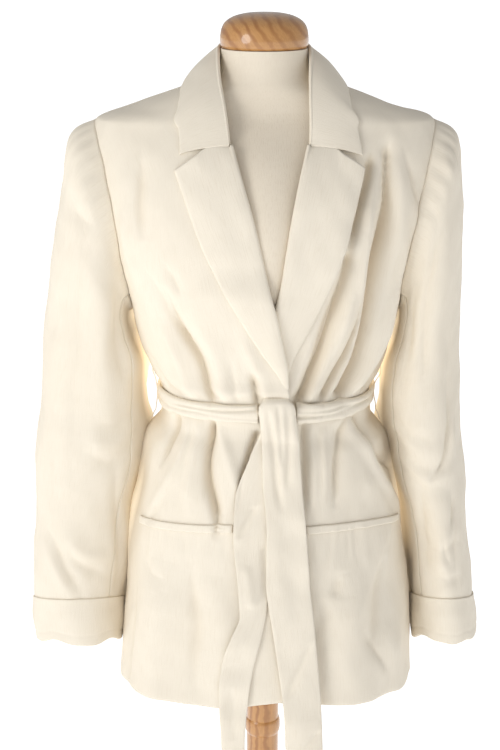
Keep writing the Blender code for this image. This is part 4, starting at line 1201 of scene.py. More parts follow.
def sleeve_frame(side, step, row):
    """The unfolded sleeve's point and the way out of it."""
    du, dv = SLEEVE_NEARBY
    around = sleeve_face(side, step + du, row) - sleeve_face(side, step - du, row)
    down = sleeve_face(side, step, row + dv) - sleeve_face(side, step, row - dv)
    return sleeve_face(side, step, row), unit(np.cross(around, down)) * side


def sleeve_line(side, points, back):
    """A line drawn on the sleeve by x and z, on its front or its back."""
    low, high = (10.2, 19.8) if back else (0.2, 9.8)
    face = sleeve_face(side, *grid((low, high, 119), (0, SLEEVE_END_ROW, 399))).reshape(-1, 3)
    gaps = (face[None, :, 0] - points[:, 0, None]) ** 2 + (face[None, :, 2] - points[:, 1, None]) ** 2
    return smooth_line(face[np.argmin(gaps, axis=1)])


# %% [markdown]
# The right sleeve hangs almost straight, with long soft lines and slanting folds above its cuff. The left one
# has a long crease down its outer edge, which hooks in at the elbow, and faint folds at the crook. The backs
# get folds of the same kind. Last, a swell down each sleeve's inner side brings it close to the body.

# %% The sleeves' folds
RIGHT_SLEEVE_FOLDS = """
    -215 1350, -222 1240, -234 1120, -246 930 | 16 -3.6 .3 .2 .1
    -196 1260, -196 1180, -200 1090, -205 1010 | 13 4.2 0 .2 .1
    -183 1230, -181 1160, -178 1100 | 10 -5.5 .1 .4 .2
    -229 1326, -219 1316, -206 1308 | 9 -3.4 0 .1 .2
    -245 1300, -252 1200, -262 1100 | 14 3 0 .1 .1
    -276 905, -256 856, -235 815 | 10 -5.8 .3 .1 .3
    -285 890, -268 850, -250 812 | 9 3.6 0 .1 .3
    -246 880, -226 855, -201 836 | 9 -4.5 0 .1 .3
    -250 905, -230 880, -200 862 | 10 3.4 0 .1 .2
    -172 1010, -196 1000, -222 1010 | 12 -4 0 .5 .1
    -170 1060, -192 1045, -215 1048 | 11 -3.8 0 .5 .1
    -175 1035, -200 1022, -225 1030 | 11 3.6 0 .5 .1
    -186 985, -190 900, -194 820 | 9 -4 0 .3 .4
    -262 1040, -268 980, -266 930 | 14 -3.4 0 .1 .1
"""
LEFT_SLEEVE_FOLDS = """
    206 1330, 200 1250, 199 1160, 205 1080 | 15 -5.2 .2 .3 .1
    222 1320, 217 1220, 214 1120 | 13 3.6 0 .1 .1
    183 1230, 178 1170, 172 1110 | 10 -6 0 .4 .3
    166 1030, 190 1000, 215 995, 253 1014 | 10.5 -3 .2 .8 .2
    170 1010, 205 986, 243 990 | 9.5 2.4 0 .6 .1
    176 992, 210 970, 243 972 | 9.5 -2.4 -.2 .7 .1
    160 1065, 185 1040, 215 1036 | 10 -3 0 .7 .1
    163 1045, 190 1022, 222 1020 | 10 2.4 0 .6 .1
    202 968, 206 900, 216 838 | 10 -5.6 .2 .3 .3
    222 960, 226 890, 234 830 | 12 4.2 0 .1 .3
    245 975, 250 905, 252 835 | 11 -4.5 0 .1 .3
    198 905, 222 884, 262 892 | 9 -3.6 0 .2 .2
    212 866, 236 846, 262 842 | 8 -3.4 0 .2 .2
    231 1112, 233 1060, 229 1005, 216 985 | 5 -6.8 .2 .2 .6
    240 1080, 242 1020, 238 975 | 6 3.6 0 .1 .2
    240 965, 243 935, 240 905 | 4.5 -5.6 0 .2 .2
    226 900, 232 880, 244 862 | 5.5 -3.6 0 .2 .2
    212 1412, 226 1398, 232 1378 | 6 -3.2 0 .2 .2
    206 1398, 216 1384, 222 1362 | 5.5 2.6 0 .2 .2
    228 1200, 230 1130, 233 1060 | 11 -3 0 .1 .1
"""
SLEEVE_BACK_FOLDS = """
    206 1320, 204 1230, 206 1120 | 15 -5 0 .3 .1
    222 1300, 224 1180, 226 1080 | 14 4 0 .1 .1
    180 1220, 176 1160, 174 1100 | 10 -5.5 0 .4 .2
    228 1050, 210 1030, 185 1012 | 11 -5.5 0 .2 .5
    230 1010, 214 995, 190 985 | 10 4.4 0 .2 .5
    234 984, 216 965, 196 950 | 10 -5 0 .2 .5
    226 940, 232 880, 240 820 | 12 -4.2 0 .1 .4
    208 930, 214 870, 220 815 | 11 3.6 0 .1 .4
"""
RIGHT_BACK_SHIFT = 1.12  # the right sleeve stands further out at the back
SLEEVE_SOFTNESS, SLEEVE_CORE = 0.72, 0.15  # sleeves hang free, so their folds are softer than the body's
SWELLS = (
    # steps and rows down its line, width, rise, lean, start, end
    ((12.0, 11.8, 11.5, 11.5, 11.5), (1.2, 2.2, 3.2, 3.9, 4.5), 0.024, 0.0185, 0.0, 0.8, 0.25),
    ((11.4, 11.8, 12.0, 12.0, 12.0), (5.35, 6.2, 7.4, 8.3, 9.2), 0.024, 0.0205, 0.0, 0.7, 0.5),
)
sleeve_folds = {-1: [], 1: []}
for side, front, spread in ((-1, RIGHT_SLEEVE_FOLDS, -RIGHT_BACK_SHIFT), (1, LEFT_SLEEVE_FOLDS, 1.0)):
    lines = [(points, False, sizes) for points, *sizes in drawn(front)]
    lines += [(points * (spread, 1), True, sizes) for points, *sizes in drawn(SLEEVE_BACK_FOLDS)]
    for points, back, sizes in lines:
        fold = Fold(sleeve_line(side, points, back), *sizes)
        fold.rise, fold.core = fold.rise * SLEEVE_SOFTNESS, SLEEVE_CORE * (fold.rise < 0)
        sleeve_folds[side].append(fold)
    for steps, rows, *sizes in SWELLS:
        line = smooth_line(sleeve_face(side, np.array(steps), np.array(rows)))
        sleeve_folds[side].append(Fold(line, *sizes))
print([len(folds) for folds in sleeve_folds.values()], "folds on the sleeves")
# A glow is painted where light comes through the thin cloth beside the body: round this step, and less below
# this row.
BESIDE_STEP, BESIDE_STEPS, BESIDE_ROW, BESIDE_ROWS, BESIDE_LOW = 11.0, 2.4, 6.5, 2.5, 0.6
HEAD_PUCKERS, PUCKER_DRIFT, PUCKER_RISE, PUCKER_END = 31, 0.8, 0.0007, 1.2
HEAD_EASE, HEAD_END = 0.0030, 1.6  # the sleeve head swells over the seam, down to this row
HEAD_FROM, HEAD_SPAN = -0.35, 0.9  # how far round the armhole that goes, as a cosine
SLEEVE_GRID_ROWS = 188
SLEEVE_HALVES = (
    # name, first and last step, columns
    ("upper", BACK_SEAM_STEP, FRONT_SEAM_STEP + SLEEVE_STEPS, 124),
    ("under", FRONT_SEAM_STEP, BACK_SEAM_STEP, 40),
)
SEAM_EASE_ROW = 0.8  # above it the sleeve's own folds fade into the seam


def sleeve_points(side, step, row, out=0.0):
    """The folded sleeve, moved out, and its hollow mask, which paints shade in the troughs and a glow above 1.
    """
    place, outward = sleeve_frame(side, step, row)
    shape = place.shape[:-1]
    height, hollow, _ = relief(place.reshape(-1, 3), outward.reshape(-1, 3), sleeve_folds[side])
    height, hollow = height.reshape(shape), hollow.reshape(shape)
    from_seam = eased(row / SEAM_EASE_ROW)
    around = step / SLEEVE_STEPS * math.tau
    top = eased((np.cos(around) - HEAD_FROM) / HEAD_SPAN)
    puckers = PUCKER_RISE * np.sin(HEAD_PUCKERS * around + PUCKER_DRIFT * np.sin(3 * around))
    puckers = puckers * hump(np.clip(row / PUCKER_END, 0, 1))
    head = HEAD_EASE * hump(np.clip(row / HEAD_END, 0, 1))
    height = height * from_seam + (puckers + head) * top
    beside = bell(step - BESIDE_STEP, BESIDE_STEPS) * eased(row / PUCKER_END)
    beside = beside * between(BESIDE_LOW, 1, eased((BESIDE_ROW - row) / BESIDE_ROWS))
    hollow = np.maximum(hollow, 2 * beside)
    return sleeve_face(side, step, row, True) + outward * (height + out)[..., None], hollow * from_seam


for side, name in SIDES:
    for half, first, last, count in SLEEVE_HALVES:
        place_of = lambda step, row: sleeve_face(side, step, row)
        row = evenly(place_of, 0, SLEEVE_END_ROW, SLEEVE_GRID_ROWS, (first + last) / 2)
        step, row = grid((first, last, count), row)
        dip = seam_dip(from_ends(sleeve_face(side, step, row)))
        points, hollow = sleeve_points(side, step, row, dip)
        quarters, middle_row = np.array((0.0, 5.0, 10.0, 15.0)), row[0, SLEEVE_GRID_ROWS // 2]
        axis = sleeve_face(side, quarters, np.full(4, middle_row)).mean(axis=0)
        sheet(f"sleeve_{name}_{half}", points, hollow, inside=axis)

# %% [markdown]
# Each cuff is the sleeve's end turned up outside it. Its cloth comes up inside the sleeve, goes round the
# fold at the bottom, up the outside, and ends in a turned top edge. The fold wavers: nothing holds it.

# %% The cuffs
CUFF_CLOTH = 0.0028
CUFF_OUT = SEAM_GAP + CUFF_CLOTH
CUFF_INSIDE = -0.0036
CUFF_LIP_ROW = 9.55
CUFF_FOLD = (CUFF_OUT - CUFF_INSIDE) / 2
CUFF_EDGE = 0.0010
CUFF_STITCH, CUFF_STITCH_DIP = 0.19, 0.0007  # the stitched line's place above the fold, and its depth
CUFF_STITCH_WIDTH, CUFF_SLACK, CUFF_FOLD_SLACK = 0.022, 0.0012, 0.0016
CUFF_WAVE = 0.0028
CUFF_FLUSH, FLUSH_FROM = 0.0013, 0.55  # the top edge is pressed this much nearer the sleeve, from this share
CUFF_WALL = 0.0012
CUFF_SPANS = ((0, 1, 8), (1, 2, 10), (2, 3, 28), (3, 4, 7))  # the path's stretches and their rows


def cuff_points(side, step, path):
    """path: 0 inner edge, 1 start of the fold, 2 its outer end, 3 outside's top, 4 under the top edge."""
    around = step / SLEEVE_STEPS * math.tau
    waves = np.sin(3 * around + 0.7 * side) + 0.6 * np.sin(5 * around + 2) + 0.4 * np.sin(8 * around)
    lower = CUFF_WAVE * waves
    inner = np.clip(path, 0, 1)
    fold = np.clip(path - 1, 0, 1) * math.pi
    outer = np.clip(path - 2, 0, 1)
    edge = np.clip(path - 3, 0, 1) * math.pi
    row = np.where(path < 1, between(CUFF_LIP_ROW, SLEEVE_END_ROW, inner), SLEEVE_END_ROW)
    row = np.where(path > 2, between(SLEEVE_END_ROW, CUFF_TOP_ROW, outer), row)
    slack = CUFF_SLACK * np.sin(4 * around + 1.3) * hump(outer) + CUFF_FOLD_SLACK * (1 - outer)
    slack = np.where(path > 2, slack, CUFF_FOLD_SLACK * np.sin(fold / 2))
    out = CUFF_INSIDE + CUFF_FOLD * (1 - np.cos(fold)) + slack
    out = np.where(path > 3, CUFF_OUT - CUFF_EDGE * (1 - np.cos(edge)), out)
    stitched = CUFF_STITCH_DIP * bell(outer - CUFF_STITCH, CUFF_STITCH_WIDTH)
    pressed = CUFF_FLUSH * eased((outer - FLUSH_FROM) / (1 - FLUSH_FROM))
    out = out - np.where(path > 2, stitched + pressed, 0.0)
    rise = -CUFF_FOLD * np.sin(fold) + CUFF_EDGE * np.sin(edge)
    low = np.where(path < 1, inner, np.where(path > 2, 1 - outer, 1.0))
    points, hollow = sleeve_points(side, step, row, out)
    points[..., 2] += rise + lower * low**2
    return points, hollow


for side, name in SIDES:
    step, path = grid((0, SLEEVE_STEPS, 150), stretches(*CUFF_SPANS))
    points, hollow = cuff_points(side, step, path)
    points[-1] = points[0]
    middle = step.shape[0] // 2, step.shape[1] // 2
    outward = sleeve_frame(side, step[middle], path[middle] * 0 + 9.5)[1]
    sheet(f"cuff_{name}", points, hollow, CUFF_WALL, True, points[middle] - outward * 0.01)

# %% [markdown]
# A welt pocket shows only as a narrow strip over its opening. The strip is slightly puffed, with both long
# edges turned in, and follows the folds of the front below it.

# %% The pocket welts
WELT_HEIGHT = 0.0105
WELT_FLOOR, WELT_CROWN, WELT_WALL = 0.0011, 0.0016, 0.0009
WELT_END_TURN = 1.2  # the ends are rounded over this turn
SLIM, SLIM_TURN = 0.80, 60  # the left one gets slimmer towards the side
for (side, name), welt in zip(SIDES, (RIGHT_WELT, LEFT_WELT)):
    first, last = welt.rows[[0, -1], 0]
    turn, share = grid((first, last, 160), (0, 1, 16))
    ends = np.minimum(turn - first, last - turn) / WELT_END_TURN
    slimmer = between(1.0, SLIM, eased((turn - first) / SLIM_TURN)) if side > 0 else 1.0
    z = welt.at(turn, "z") + WELT_HEIGHT * share * slimmer
    rounded = np.sqrt((1 - np.abs(2 * share - 1) ** 5) * np.clip(ends, 0, 1))
    x = body_spot(turn, z, folds=False)[..., 0]
    lift = front_lift(x, z) if side < 0 else 0.0
    sheet(f"pocket_welt_{name}", body_spot(turn, z, lift + WELT_FLOOR + WELT_CROWN * rounded), wall=WELT_WALL)

# %% [markdown]
# The sash belt is wide cloth crushed to half its width, so it has long folds of its own that run with it and
# wander up and down. Its height changes round the waist for the same reason.

# %% The belt round the waist
BELT_HALF_HEIGHT = 0.0130
BELT_TURNS = (15.6, 355.8)
BELT_GAP, BELT_LIFT = 0.0021, 0.0036
BELT_BOW = 0.0032
BELT_RIM = 0.0018  # its edges lie this close to the cloth
BELT_HEIGHTS = ((0.10, 1, math.pi / 2), (0.08, 4, 0.6), (0.05, 9, 0.0))  # shares, turns, starts
BELT_HEIGHT_SHARE, BELT_SWAY = 0.88, 0.0012
BELT_WALL = 0.0016
CRUSH = (
    # starts at, drifts by, width, rise
    (-0.45, 0.35, 0.22, -0.0020),
    (0.10, -0.40, 0.18, -0.0024),
    (0.55, 0.25, 0.20, -0.0016),
    (-0.10, 0.50, 0.24, 0.0012),
)


def belt_half_height(turn):
    waves = sum(share * np.sin(turns * np.radians(turn) + start) for share, turns, start in BELT_HEIGHTS)
    return BELT_HALF_HEIGHT * (BELT_HEIGHT_SHARE + waves)


def belt_points(turn, height):
    """height runs from -1 to 1 across the belt."""
    angle = np.radians(turn)
    half = belt_half_height(turn)
    z = belt_middle(turn) + half * height + BELT_SWAY * np.sin(3 * angle + 2)
    x = body_spot(turn, z, folds=False)[..., 0]
    lift = np.where(np.cos(angle) > 0, BELT_LIFT * crossing(x) * crossing(-x), 0.0)
    crush = np.zeros(turn.shape)
    for k, (start, drift, width, rise) in enumerate(CRUSH):
        line = start + drift * np.sin(1.5 * angle + 1.7 * k) + 0.10 * np.sin(7 * angle + k)
        crush += rise * bell(height - line, width) * (0.7 + 0.3 * np.sin(5 * angle + 2 * k))
    edge = np.sqrt(np.clip(1 - np.abs(height) ** 6, 0, 1))
    rounded = np.sqrt(np.clip(1 - height**2, 0, 1))
    off = BELT_RIM + (BELT_GAP + CLOTH - BELT_RIM) * edge * eased(rounded * 2)
    return body_spot(turn, z, lift + off + (BELT_BOW + crush) * rounded)


turn, height = grid((*BELT_TURNS, 440), (-1, 1, 28))
sheet("belt_wrap", belt_points(turn, height), wall=BELT_WALL, inside=(0, 0, BELT_BACK_Z))

# %% [markdown]
# The belt is tied once. The upper end comes up from behind the knot, turns over it and hangs down the front,
# flat and doubled. The lower end comes out under it, makes half a twist and hangs beside it.

# %% The hanging ends
OVER_TAIL = Table("z low_x high_x off", """
    600 29 75 6.2
    650 27.2 73 6.2
    700 25 71.2 6.2
    760 18 66.7 6.2
    808 11.5 62.4 6.2
    878 2.6 55 6.2
    943 3 50.1 6.2
    1008 -2 44 6.6
    1050 -2.6 40.5 12
    1073 -4.5 38 19.5
    1092 -6 36 20.5
    1107 -7.2 34.8 19.5
    1112 -7.5 34.5 12
""")
UNDER_TAIL = Table("z low_x high_x off", """
    612 -52 -20 3.1
    652 -52.5 -23.4 3.1
    728 -54.7 -18 3.1
    774 -49.5 -10 3.1
    807 -38 -2 3.1
    832 -29 3 3.1
    877 -32 6 3.1
    926 -36.5 7.3 3.1
    982 -34 6 3.1
    1030 -18 18 3.3
    1055 -8 26 6
    1073 -2 30 11
""")
TAIL_CREASES = {
    # (from share, z), (to share, z), width, rise
    "over": (
        ((0.95, 0.800), (0.10, 0.720), 0.0060, -0.0030),
        ((0.98, 0.680), (0.35, 0.640), 0.0055, -0.0024),
        ((0.24, 1.108), (0.42, 0.960), 0.0045, -0.0034),
        ((0.55, 1.108), (0.52, 1.020), 0.0035, -0.0024),
        ((0.80, 1.108), (0.64, 0.990), 0.0045, -0.0032),
        ((0.20, 0.960), (0.30, 0.860), 0.0090, 0.0018),
        ((0.75, 0.930), (0.60, 0.820), 0.0110, -0.0018),
    ),
    "under": (
        ((0.65, 0.975), (0.10, 0.930), 0.0055, -0.0030),
        ((0.85, 0.930), (0.92, 0.850), 0.0060, -0.0030),
        ((0.92, 0.850), (0.35, 0.770), 0.0090, -0.0018),
        ((0.30, 0.900), (0.45, 0.840), 0.0070, 0.0026),
        ((0.40, 0.740), (0.55, 0.660), 0.0080, -0.0020),
    ),
}
TAIL_LIP, TAIL_LIP_WIDTH = 0.0006, 0.0015
TAIL_OFF, TAIL_WALL = 0.0012, 0.0021
TAIL_BELLY, TAIL_WAVE, TAIL_WAVE_RISE = 0.0016, 0.06, 0.0009
TAIL_TOP_ROUND, TAIL_TOP_Z, TAIL_TOP_EASE = 0.0065, 1.096, 0.014
# The over end swells towards its foot. Over the knot it lies closer, and its sides curl in.
FOOT_SWELL, FOOT_Z, FOOT_EASE = 0.0022, 0.70, 0.1
KNOT_CLOSER, KNOT_CURL, KNOT_Z, KNOT_EASE = 0.20, 0.0060, 1.045, 0.03
# The under end twists at two heights, stands off at one, and rises over the welt: (size, height, reach).
TWISTS, STAND_OFF = ((0.0045, 0.835, 0.050), (0.0040, 0.955, 0.022)), (0.002, 0.845, 0.045)
WELT_BUMP = (0.0026, 0.938, 0.013)
FOLLOW_Z, FOLLOW_EASE, HOLLOW_SHARE = 1.02, 0.05, 0.30  # below here the ends follow the cloth's folds


def swell(z, size, middle, reach):
    return size * bell(z - middle, reach)


def tail_points(name, share, z):
    table = OVER_TAIL if name == "over" else UNDER_TAIL
    low_x, high_x = table.at(z, "low_x"), table.at(z, "high_x")
    if name == "over":
        rounded = TAIL_TOP_ROUND * eased((z - TAIL_TOP_Z) / TAIL_TOP_EASE) ** 2
        low_x, high_x = low_x + rounded, high_x - rounded
    x = between(low_x, high_x, share)
    wide = high_x - low_x
    crease = np.zeros(share.shape)
    for (first, top), (second, foot), width, rise in TAIL_CREASES[name]:
        down = np.clip((top - z) / (top - foot), -0.3, 1.3)
        line = between(first, second, down)
        crease += rise * bell((share - line) * wide, width) * eased(hump(np.clip(down, 0, 1)) * 1.4)
    belly = TAIL_BELLY * hump(share) * np.sin(z * 31 + 1)
    belly = belly + uneven(np.stack([x, z, z], axis=-1), TAIL_WAVE, TAIL_WAVE_RISE)
    edge = -TAIL_LIP * (bell(share * wide, TAIL_LIP_WIDTH) + bell((1 - share) * wide, TAIL_LIP_WIDTH))
    off = table.at(z, "off") + CROSSING_LIFT * crossing(x) + TAIL_OFF
    if name == "under":
        twist = sum(swell(z, *sizes) for sizes in TWISTS)
        off = off + twist * (0.5 - share) + swell(z, *STAND_OFF)
        off = off + swell(z, *WELT_BUMP) * eased((0.5 - share) / 0.4)
    else:
        off = off + FOOT_SWELL * eased((FOOT_Z - z) / FOOT_EASE) * np.sin(share * math.pi)
        at_knot = eased((z - KNOT_Z) / KNOT_EASE)
        off = off * (1 - KNOT_CLOSER * at_knot) - KNOT_CURL * at_knot * np.abs(2 * share - 1) ** 3
    turn = turn_at(x, z)
    height = folded_body(turn, z)[0]
    follows = eased((FOLLOW_Z - z) / FOLLOW_EASE) * np.where(height > 0, 1.0, HOLLOW_SHARE)
    return body_spot(turn, z, off + crease + belly + edge + height * follows, folds=False)


for name, table in (("over", OVER_TAIL), ("under", UNDER_TAIL)):
    heights = evenly(lambda u, v: tail_points(name, u, v), table.rows[0, 0], table.rows[-1, 0], 200, 0.5)
    share, z = grid((0, 1, 40), heights)
    sheet(f"belt_tail_{name}", tail_points(name, share, z), wall=TAIL_WALL)

# %% [markdown]
# The knot itself is mostly hidden by the end that turns over it. It is a small pillow of cloth with a few
# pleats that run across it, pinched where the belt enters on both sides.

# %% The knot
KNOT_LOW, KNOT_HIGH = (-0.0065, 1.076), (0.0375, 1.106)
KNOT_BACK, KNOT_FRONT = 0.0022, 0.0120
KNOT_FULLNESS, KNOT_LENGTHEN, PLEAT = 2.6, 1.04, 0.07
middle_x, middle_z = (KNOT_LOW[0] + KNOT_HIGH[0]) / 2, (KNOT_LOW[1] + KNOT_HIGH[1]) / 2
face_y = float(body_spot(turn_at(middle_x, middle_z), middle_z, CROSSING_LIFT, False)[1])
half_x, half_y, half_z = middle_x - KNOT_LOW[0], (KNOT_FRONT - KNOT_BACK) / 2, middle_z - KNOT_LOW[1]
around, along = grid((0, math.tau, 96), (-1, 1, 60))
profile = np.sqrt(np.clip(1 - np.abs(along) ** KNOT_FULLNESS, 0, 1))
profile = profile * (1 + PLEAT * np.sin(5 * around + 2.5 * along) * profile)
x = middle_x + half_x * along * KNOT_LENGTHEN
y = face_y - (KNOT_BACK + KNOT_FRONT) / 2 - half_y * np.cos(around) * profile
knot = np.stack([x, y, middle_z + half_z * np.sin(around) * profile], axis=-1)
knot[-1] = knot[0]
closed_piece("belt_knot", knot, (middle_x, face_y - 0.009, middle_z))

# %% [markdown]
# Two thin loops of thread at the side seams keep the belt up. Each is a fine tube round a line.

# %% The thread loops
LOOP_RADIUS = 0.0007
LOOP = Table("step z off", """
    0 1118 1.9; 1 1108 8; 2 1080 9.8; 3 1052 8.5; 4 1040 2.2
""")
LOOP_TIGHT = 0.75
for side, name in SIDES:
    step = np.linspace(0, 4, 41)
    points = body_spot(np.full_like(step, side * 90.0), LOOP.at(step, "z"), LOOP.at(step, "off") * LOOP_TIGHT)
    around = np.linspace(0, math.tau, 13)
    ahead = unit(np.gradient(points, axis=0))
    sideways = unit(np.cross(ahead, (0.0, 1.0, 0.0)))
    upwards = np.cross(ahead, sideways)
    ring = np.cos(around)[:, None, None] * sideways + np.sin(around)[:, None, None] * upwards
    closed_piece(f"belt_loop_{name}", points + ring * LOOP_RADIUS, points[20])

# %% [markdown]
# The dress form is smooth and limbless: a linen cover stretched over a padded body, up to a short neck. It
# uses its own table of rings, with a rounder section at the neck. Its seams from neck to waist aren't drawn.

# %% The form's torso
FORM_TORSO = Table("z centre half_width front back", """
    780 0 149 100 104
    800 0 156 108 111
    880 0 154 109 111
    960 0 142 105 106
    1030 0 124 98 98
    1080 0 118 93 93
    1150 0 132 99 96
    1230 0 149 109 101
    1290 0 158 108 100
    1350 0 166 96 94
    1400 0 175 76 78
    1423.5 0 182 64 66
    1432.5 0 170 59 61
    1444 0 151.5 55 57
    1464 0 95.5 53 54
    1473 0 66.5 53 53
    1481 0 57.5 52 52
    1492 0 53.5 52 52
    1511.5 0 52 52 52
""")
FORM_FULLNESS, FORM_NECK_FULLNESS = 2.15, 2.0
FORM_NECK_Z, FORM_NECK_EASE = 1.460, 0.020
FORM_TOP_Z, TORSO_FOOT_Z = 1.5115, 0.780
# The chest is fuller between the lapels, and a little more so where no cloth covers it.
CHEST_SWELL, CHEST_WIDTH, CHEST_LOW, CHEST_HIGH, CHEST_EASE = 0.0120, 0.050, 1.130, 1.440, 0.06
KEEL, KEEL_X, KEEL_Z, KEEL_TOP = 0.0055, 0.0100, 1.208, 1.420
KEEL_WIDTH, KEEL_WIDENS, KEEL_EASE, KEEL_TOP_EASE = 0.008, 0.22, 0.03, 0.10
turn, z = grid((0, 360, 128), (TORSO_FOOT_Z, FORM_TOP_Z, 150))
fullness = between(FORM_FULLNESS, FORM_NECK_FULLNESS, eased((z - FORM_NECK_Z) / FORM_NECK_EASE))
torso = ring_face(FORM_TORSO, turn, z, fullness)
chest = CHEST_SWELL * bell(torso[..., 0], CHEST_WIDTH)
chest = chest * eased((z - CHEST_LOW) / CHEST_EASE) * eased((CHEST_HIGH - z) / CHEST_EASE)
keel = KEEL * bell(torso[..., 0] - KEEL_X, KEEL_WIDTH + KEEL_WIDENS * np.maximum(z - KEEL_Z, 0))
keel = keel * eased((z - KEEL_Z) / KEEL_EASE) * eased((KEEL_TOP - z) / KEEL_TOP_EASE)
torso[..., 1] -= np.where(torso[..., 1] < 0, chest + keel, 0.0)
torso[-1] = torso[0]
mesh = grid_mesh("linen_torso", torso, np.zeros(torso.shape[:2]), True, (0, 0, 1.14))
bm = bmesh.new()
bm.from_mesh(mesh)
rims = [edge for edge in bm.edges if edge.is_boundary]
bmesh.ops.holes_fill(bm, edges=rims, sides=0)
bm.to_mesh(mesh)
bm.free()
new_piece("linen_torso", mesh, linen, "form_torso", "bust", "form_linen")
mesh.set_sharp_from_angle(angle=math.radians(50))
print("torso:", len(mesh.polygons), "faces")

# %% [markdown]
# The wood is pine under an orange varnish. Real pine shows broad pale growth bands with thin darker lines
# between them, which a turned piece cuts into long arcs. A Wave texture bent by noise gives the bands, on
# object coordinates, and a clear coat over it gives the varnish its sharp shine.

# %% Pine and steel
PINE_PALE = (0.560, 0.285, 0.095, 1.0)
PINE_DARK = (0.330, 0.125, 0.030, 1.0)
BEND_SCALE, BAND_INPUTS = 9.0, (("Distortion", 3.2), ("Detail", 2.0), ("Detail Scale", 1.6))
PINE_FIBRES, STEEL_MARKS = (900.0, 900.0, 18.0), (60.0, 60.0, 2400.0)  # noise grains to the metre
FIBRE_TINT, GRAIN_BUMP, GRAIN_DEPTH = 0.35, 0.12, 0.0003
COAT_WEIGHT, COAT_ROUGHNESS = 0.8, 0.08
STEEL_COLOUR = (0.72, 0.73, 0.75, 1.0)


def fine_noise(tree, place, grains):
    stretch = node(tree, "ShaderNodeVectorMath", ((0, place), (1, grains)), operation="MULTIPLY")
    return node(tree, "ShaderNodeTexNoise", (("Vector", stretch.outputs[0]), ("Scale", 1.0))).outputs[0]


def pine(name, turn, pitch):
    material, tree, shader = finish(name)
    coordinates = node(tree, "ShaderNodeTexCoord").outputs["Object"]
    mapped = node(tree, "ShaderNodeMapping", (("Vector", coordinates), ("Rotation", turn))).outputs[0]
    bend = node(tree, "ShaderNodeTexNoise", (("Vector", mapped), ("Scale", BEND_SCALE))).outputs[0]
    bands = (("Vector", mapped), ("Scale", pitch), *BAND_INPUTS)
    rings = node(tree, "ShaderNodeTexWave", bands, bands_direction="X").outputs[0]
    fibre = fine_noise(tree, mapped, PINE_FIBRES)
    late = remap(tree, rings, 0.45, 0.95)
    late = maths(tree, "MULTIPLY", late, remap(tree, bend, 0.35, 0.65, 0.45, 1.0))
    colour = blend_colours(tree, late, PINE_PALE, PINE_DARK)
    colour = blend_colours(tree, remap(tree, fibre, 0.4, 0.75, 0.0, FIBRE_TINT), colour, PINE_DARK)
    grain = (("Height", late), ("Strength", GRAIN_BUMP), ("Distance", GRAIN_DEPTH))
    look = (
        ("Base Color", colour),
        ("Roughness", remap(tree, fibre, 0.3, 0.7, 0.32, 0.42)),
        ("Coat Weight", COAT_WEIGHT),
        ("Coat Roughness", COAT_ROUGHNESS),
        ("Normal", node(tree, "ShaderNodeBump", grain).outputs[0]),
    )
    fill(tree, shader, look)
    return material


cap_pine = pine("varnished_cap", (0.3, math.radians(35), 0.2), 26.0)
stand_pine = pine("varnished_stand", (0.0, 0.0, 0.6), 30.0)
steel, tree, shader = finish("polished_steel_tube")
marks = fine_noise(tree, node(tree, "ShaderNodeTexCoord").outputs["Object"], STEEL_MARKS)
brushed = remap(tree, marks, 0.3, 0.7, 0.10, 0.19)
fill(tree, shader, (("Base Color", STEEL_COLOUR), ("Metallic", 1.0), ("Roughness", brushed)))
print("pine and steel made")

# %% [markdown]
# Cap, rod, pole and foot are all turned pieces: a profile of radius and height, spun a full turn. A small
# Bevel modifier rounds the corners of all but the cap, as a lathe and sandpaper do, and gives the light an
# edge.

# %% Turned pieces of the form and stand
TURNED_STEPS, BEVEL_ANGLE = 96, math.radians(40)
# Radius and height, in millimetres.
CAP_PROFILE = "50 0; 52.5 3; 53.3 10; 52.2 19; 49 27.5; 42 34; 30 38.8; 15 41.1; 0 41.5"
BASE_PROFILE = "0 0; 176 0; 180 4; 180 14; 176 19; 50 24; 0 24"
ROD_RADIUS, ROD_FOOT_Z = 0.0140, 0.360
FLANGE_RADIUS, FLANGE_THICKNESS = 0.0320, 0.0050
BORE_RADIUS, BORE_FOOT_Z = 0.0146, 0.240
POLE_TOP_Z, POLE_RADIUS, POLE_FOOT_Z = 0.645, 0.0215, 0.0243
BEAD_RADIUS, BEAD_Z, BEAD_HALF_HEIGHT = 0.0240, 0.605, 0.0110
RIM_ROUND = 0.0020
BEAD_STEPS = 8


def turned(name, profile, material, node_name, body, slot, corner=0.0008):
    """A profile of (radius, height) spun round the stand's axis."""
    bm = bmesh.new()
    verts = [bm.verts.new((radius, 0.0, height)) for radius, height in profile]
    edges = [bm.edges.new(pair) for pair in zip(verts, verts[1:])]
    round_z = {"cent": (0, 0, 0), "axis": (0, 0, 1), "angle": math.tau}
    bmesh.ops.spin(bm, geom=verts + edges, steps=TURNED_STEPS, use_merge=True, **round_z)
    bmesh.ops.remove_doubles(bm, verts=bm.verts[:], dist=WELD)
    bmesh.ops.recalc_face_normals(bm, faces=bm.faces[:])
    mesh = bpy.data.meshes.new(name)
    bm.to_mesh(mesh)
    bm.free()
    thing = new_piece(name, mesh, material, node_name, body, slot)
    mesh.set_sharp_from_angle(angle=BEVEL_ANGLE)
    if corner:
        rounding = thing.modifiers.new("corners", "BEVEL")
        rounding.width = corner
        rounding.segments = 2
        rounding.limit_method = "ANGLE"
        rounding.angle_limit = BEVEL_ANGLE
    print(name, len(mesh.polygons), "faces")


def smooth_profile(points, count):
    """A finer profile through the given points, at even shares of its length."""
    along = np.concatenate([[0], np.cumsum(np.linalg.norm(np.diff(points, axis=0), axis=1))])
    table = Table("along radius height", np.column_stack([along, points]))
    where = np.linspace(0, along[-1], count)
    return [(float(table.at(w, "radius")), float(table.at(w, "height"))) for w in where]


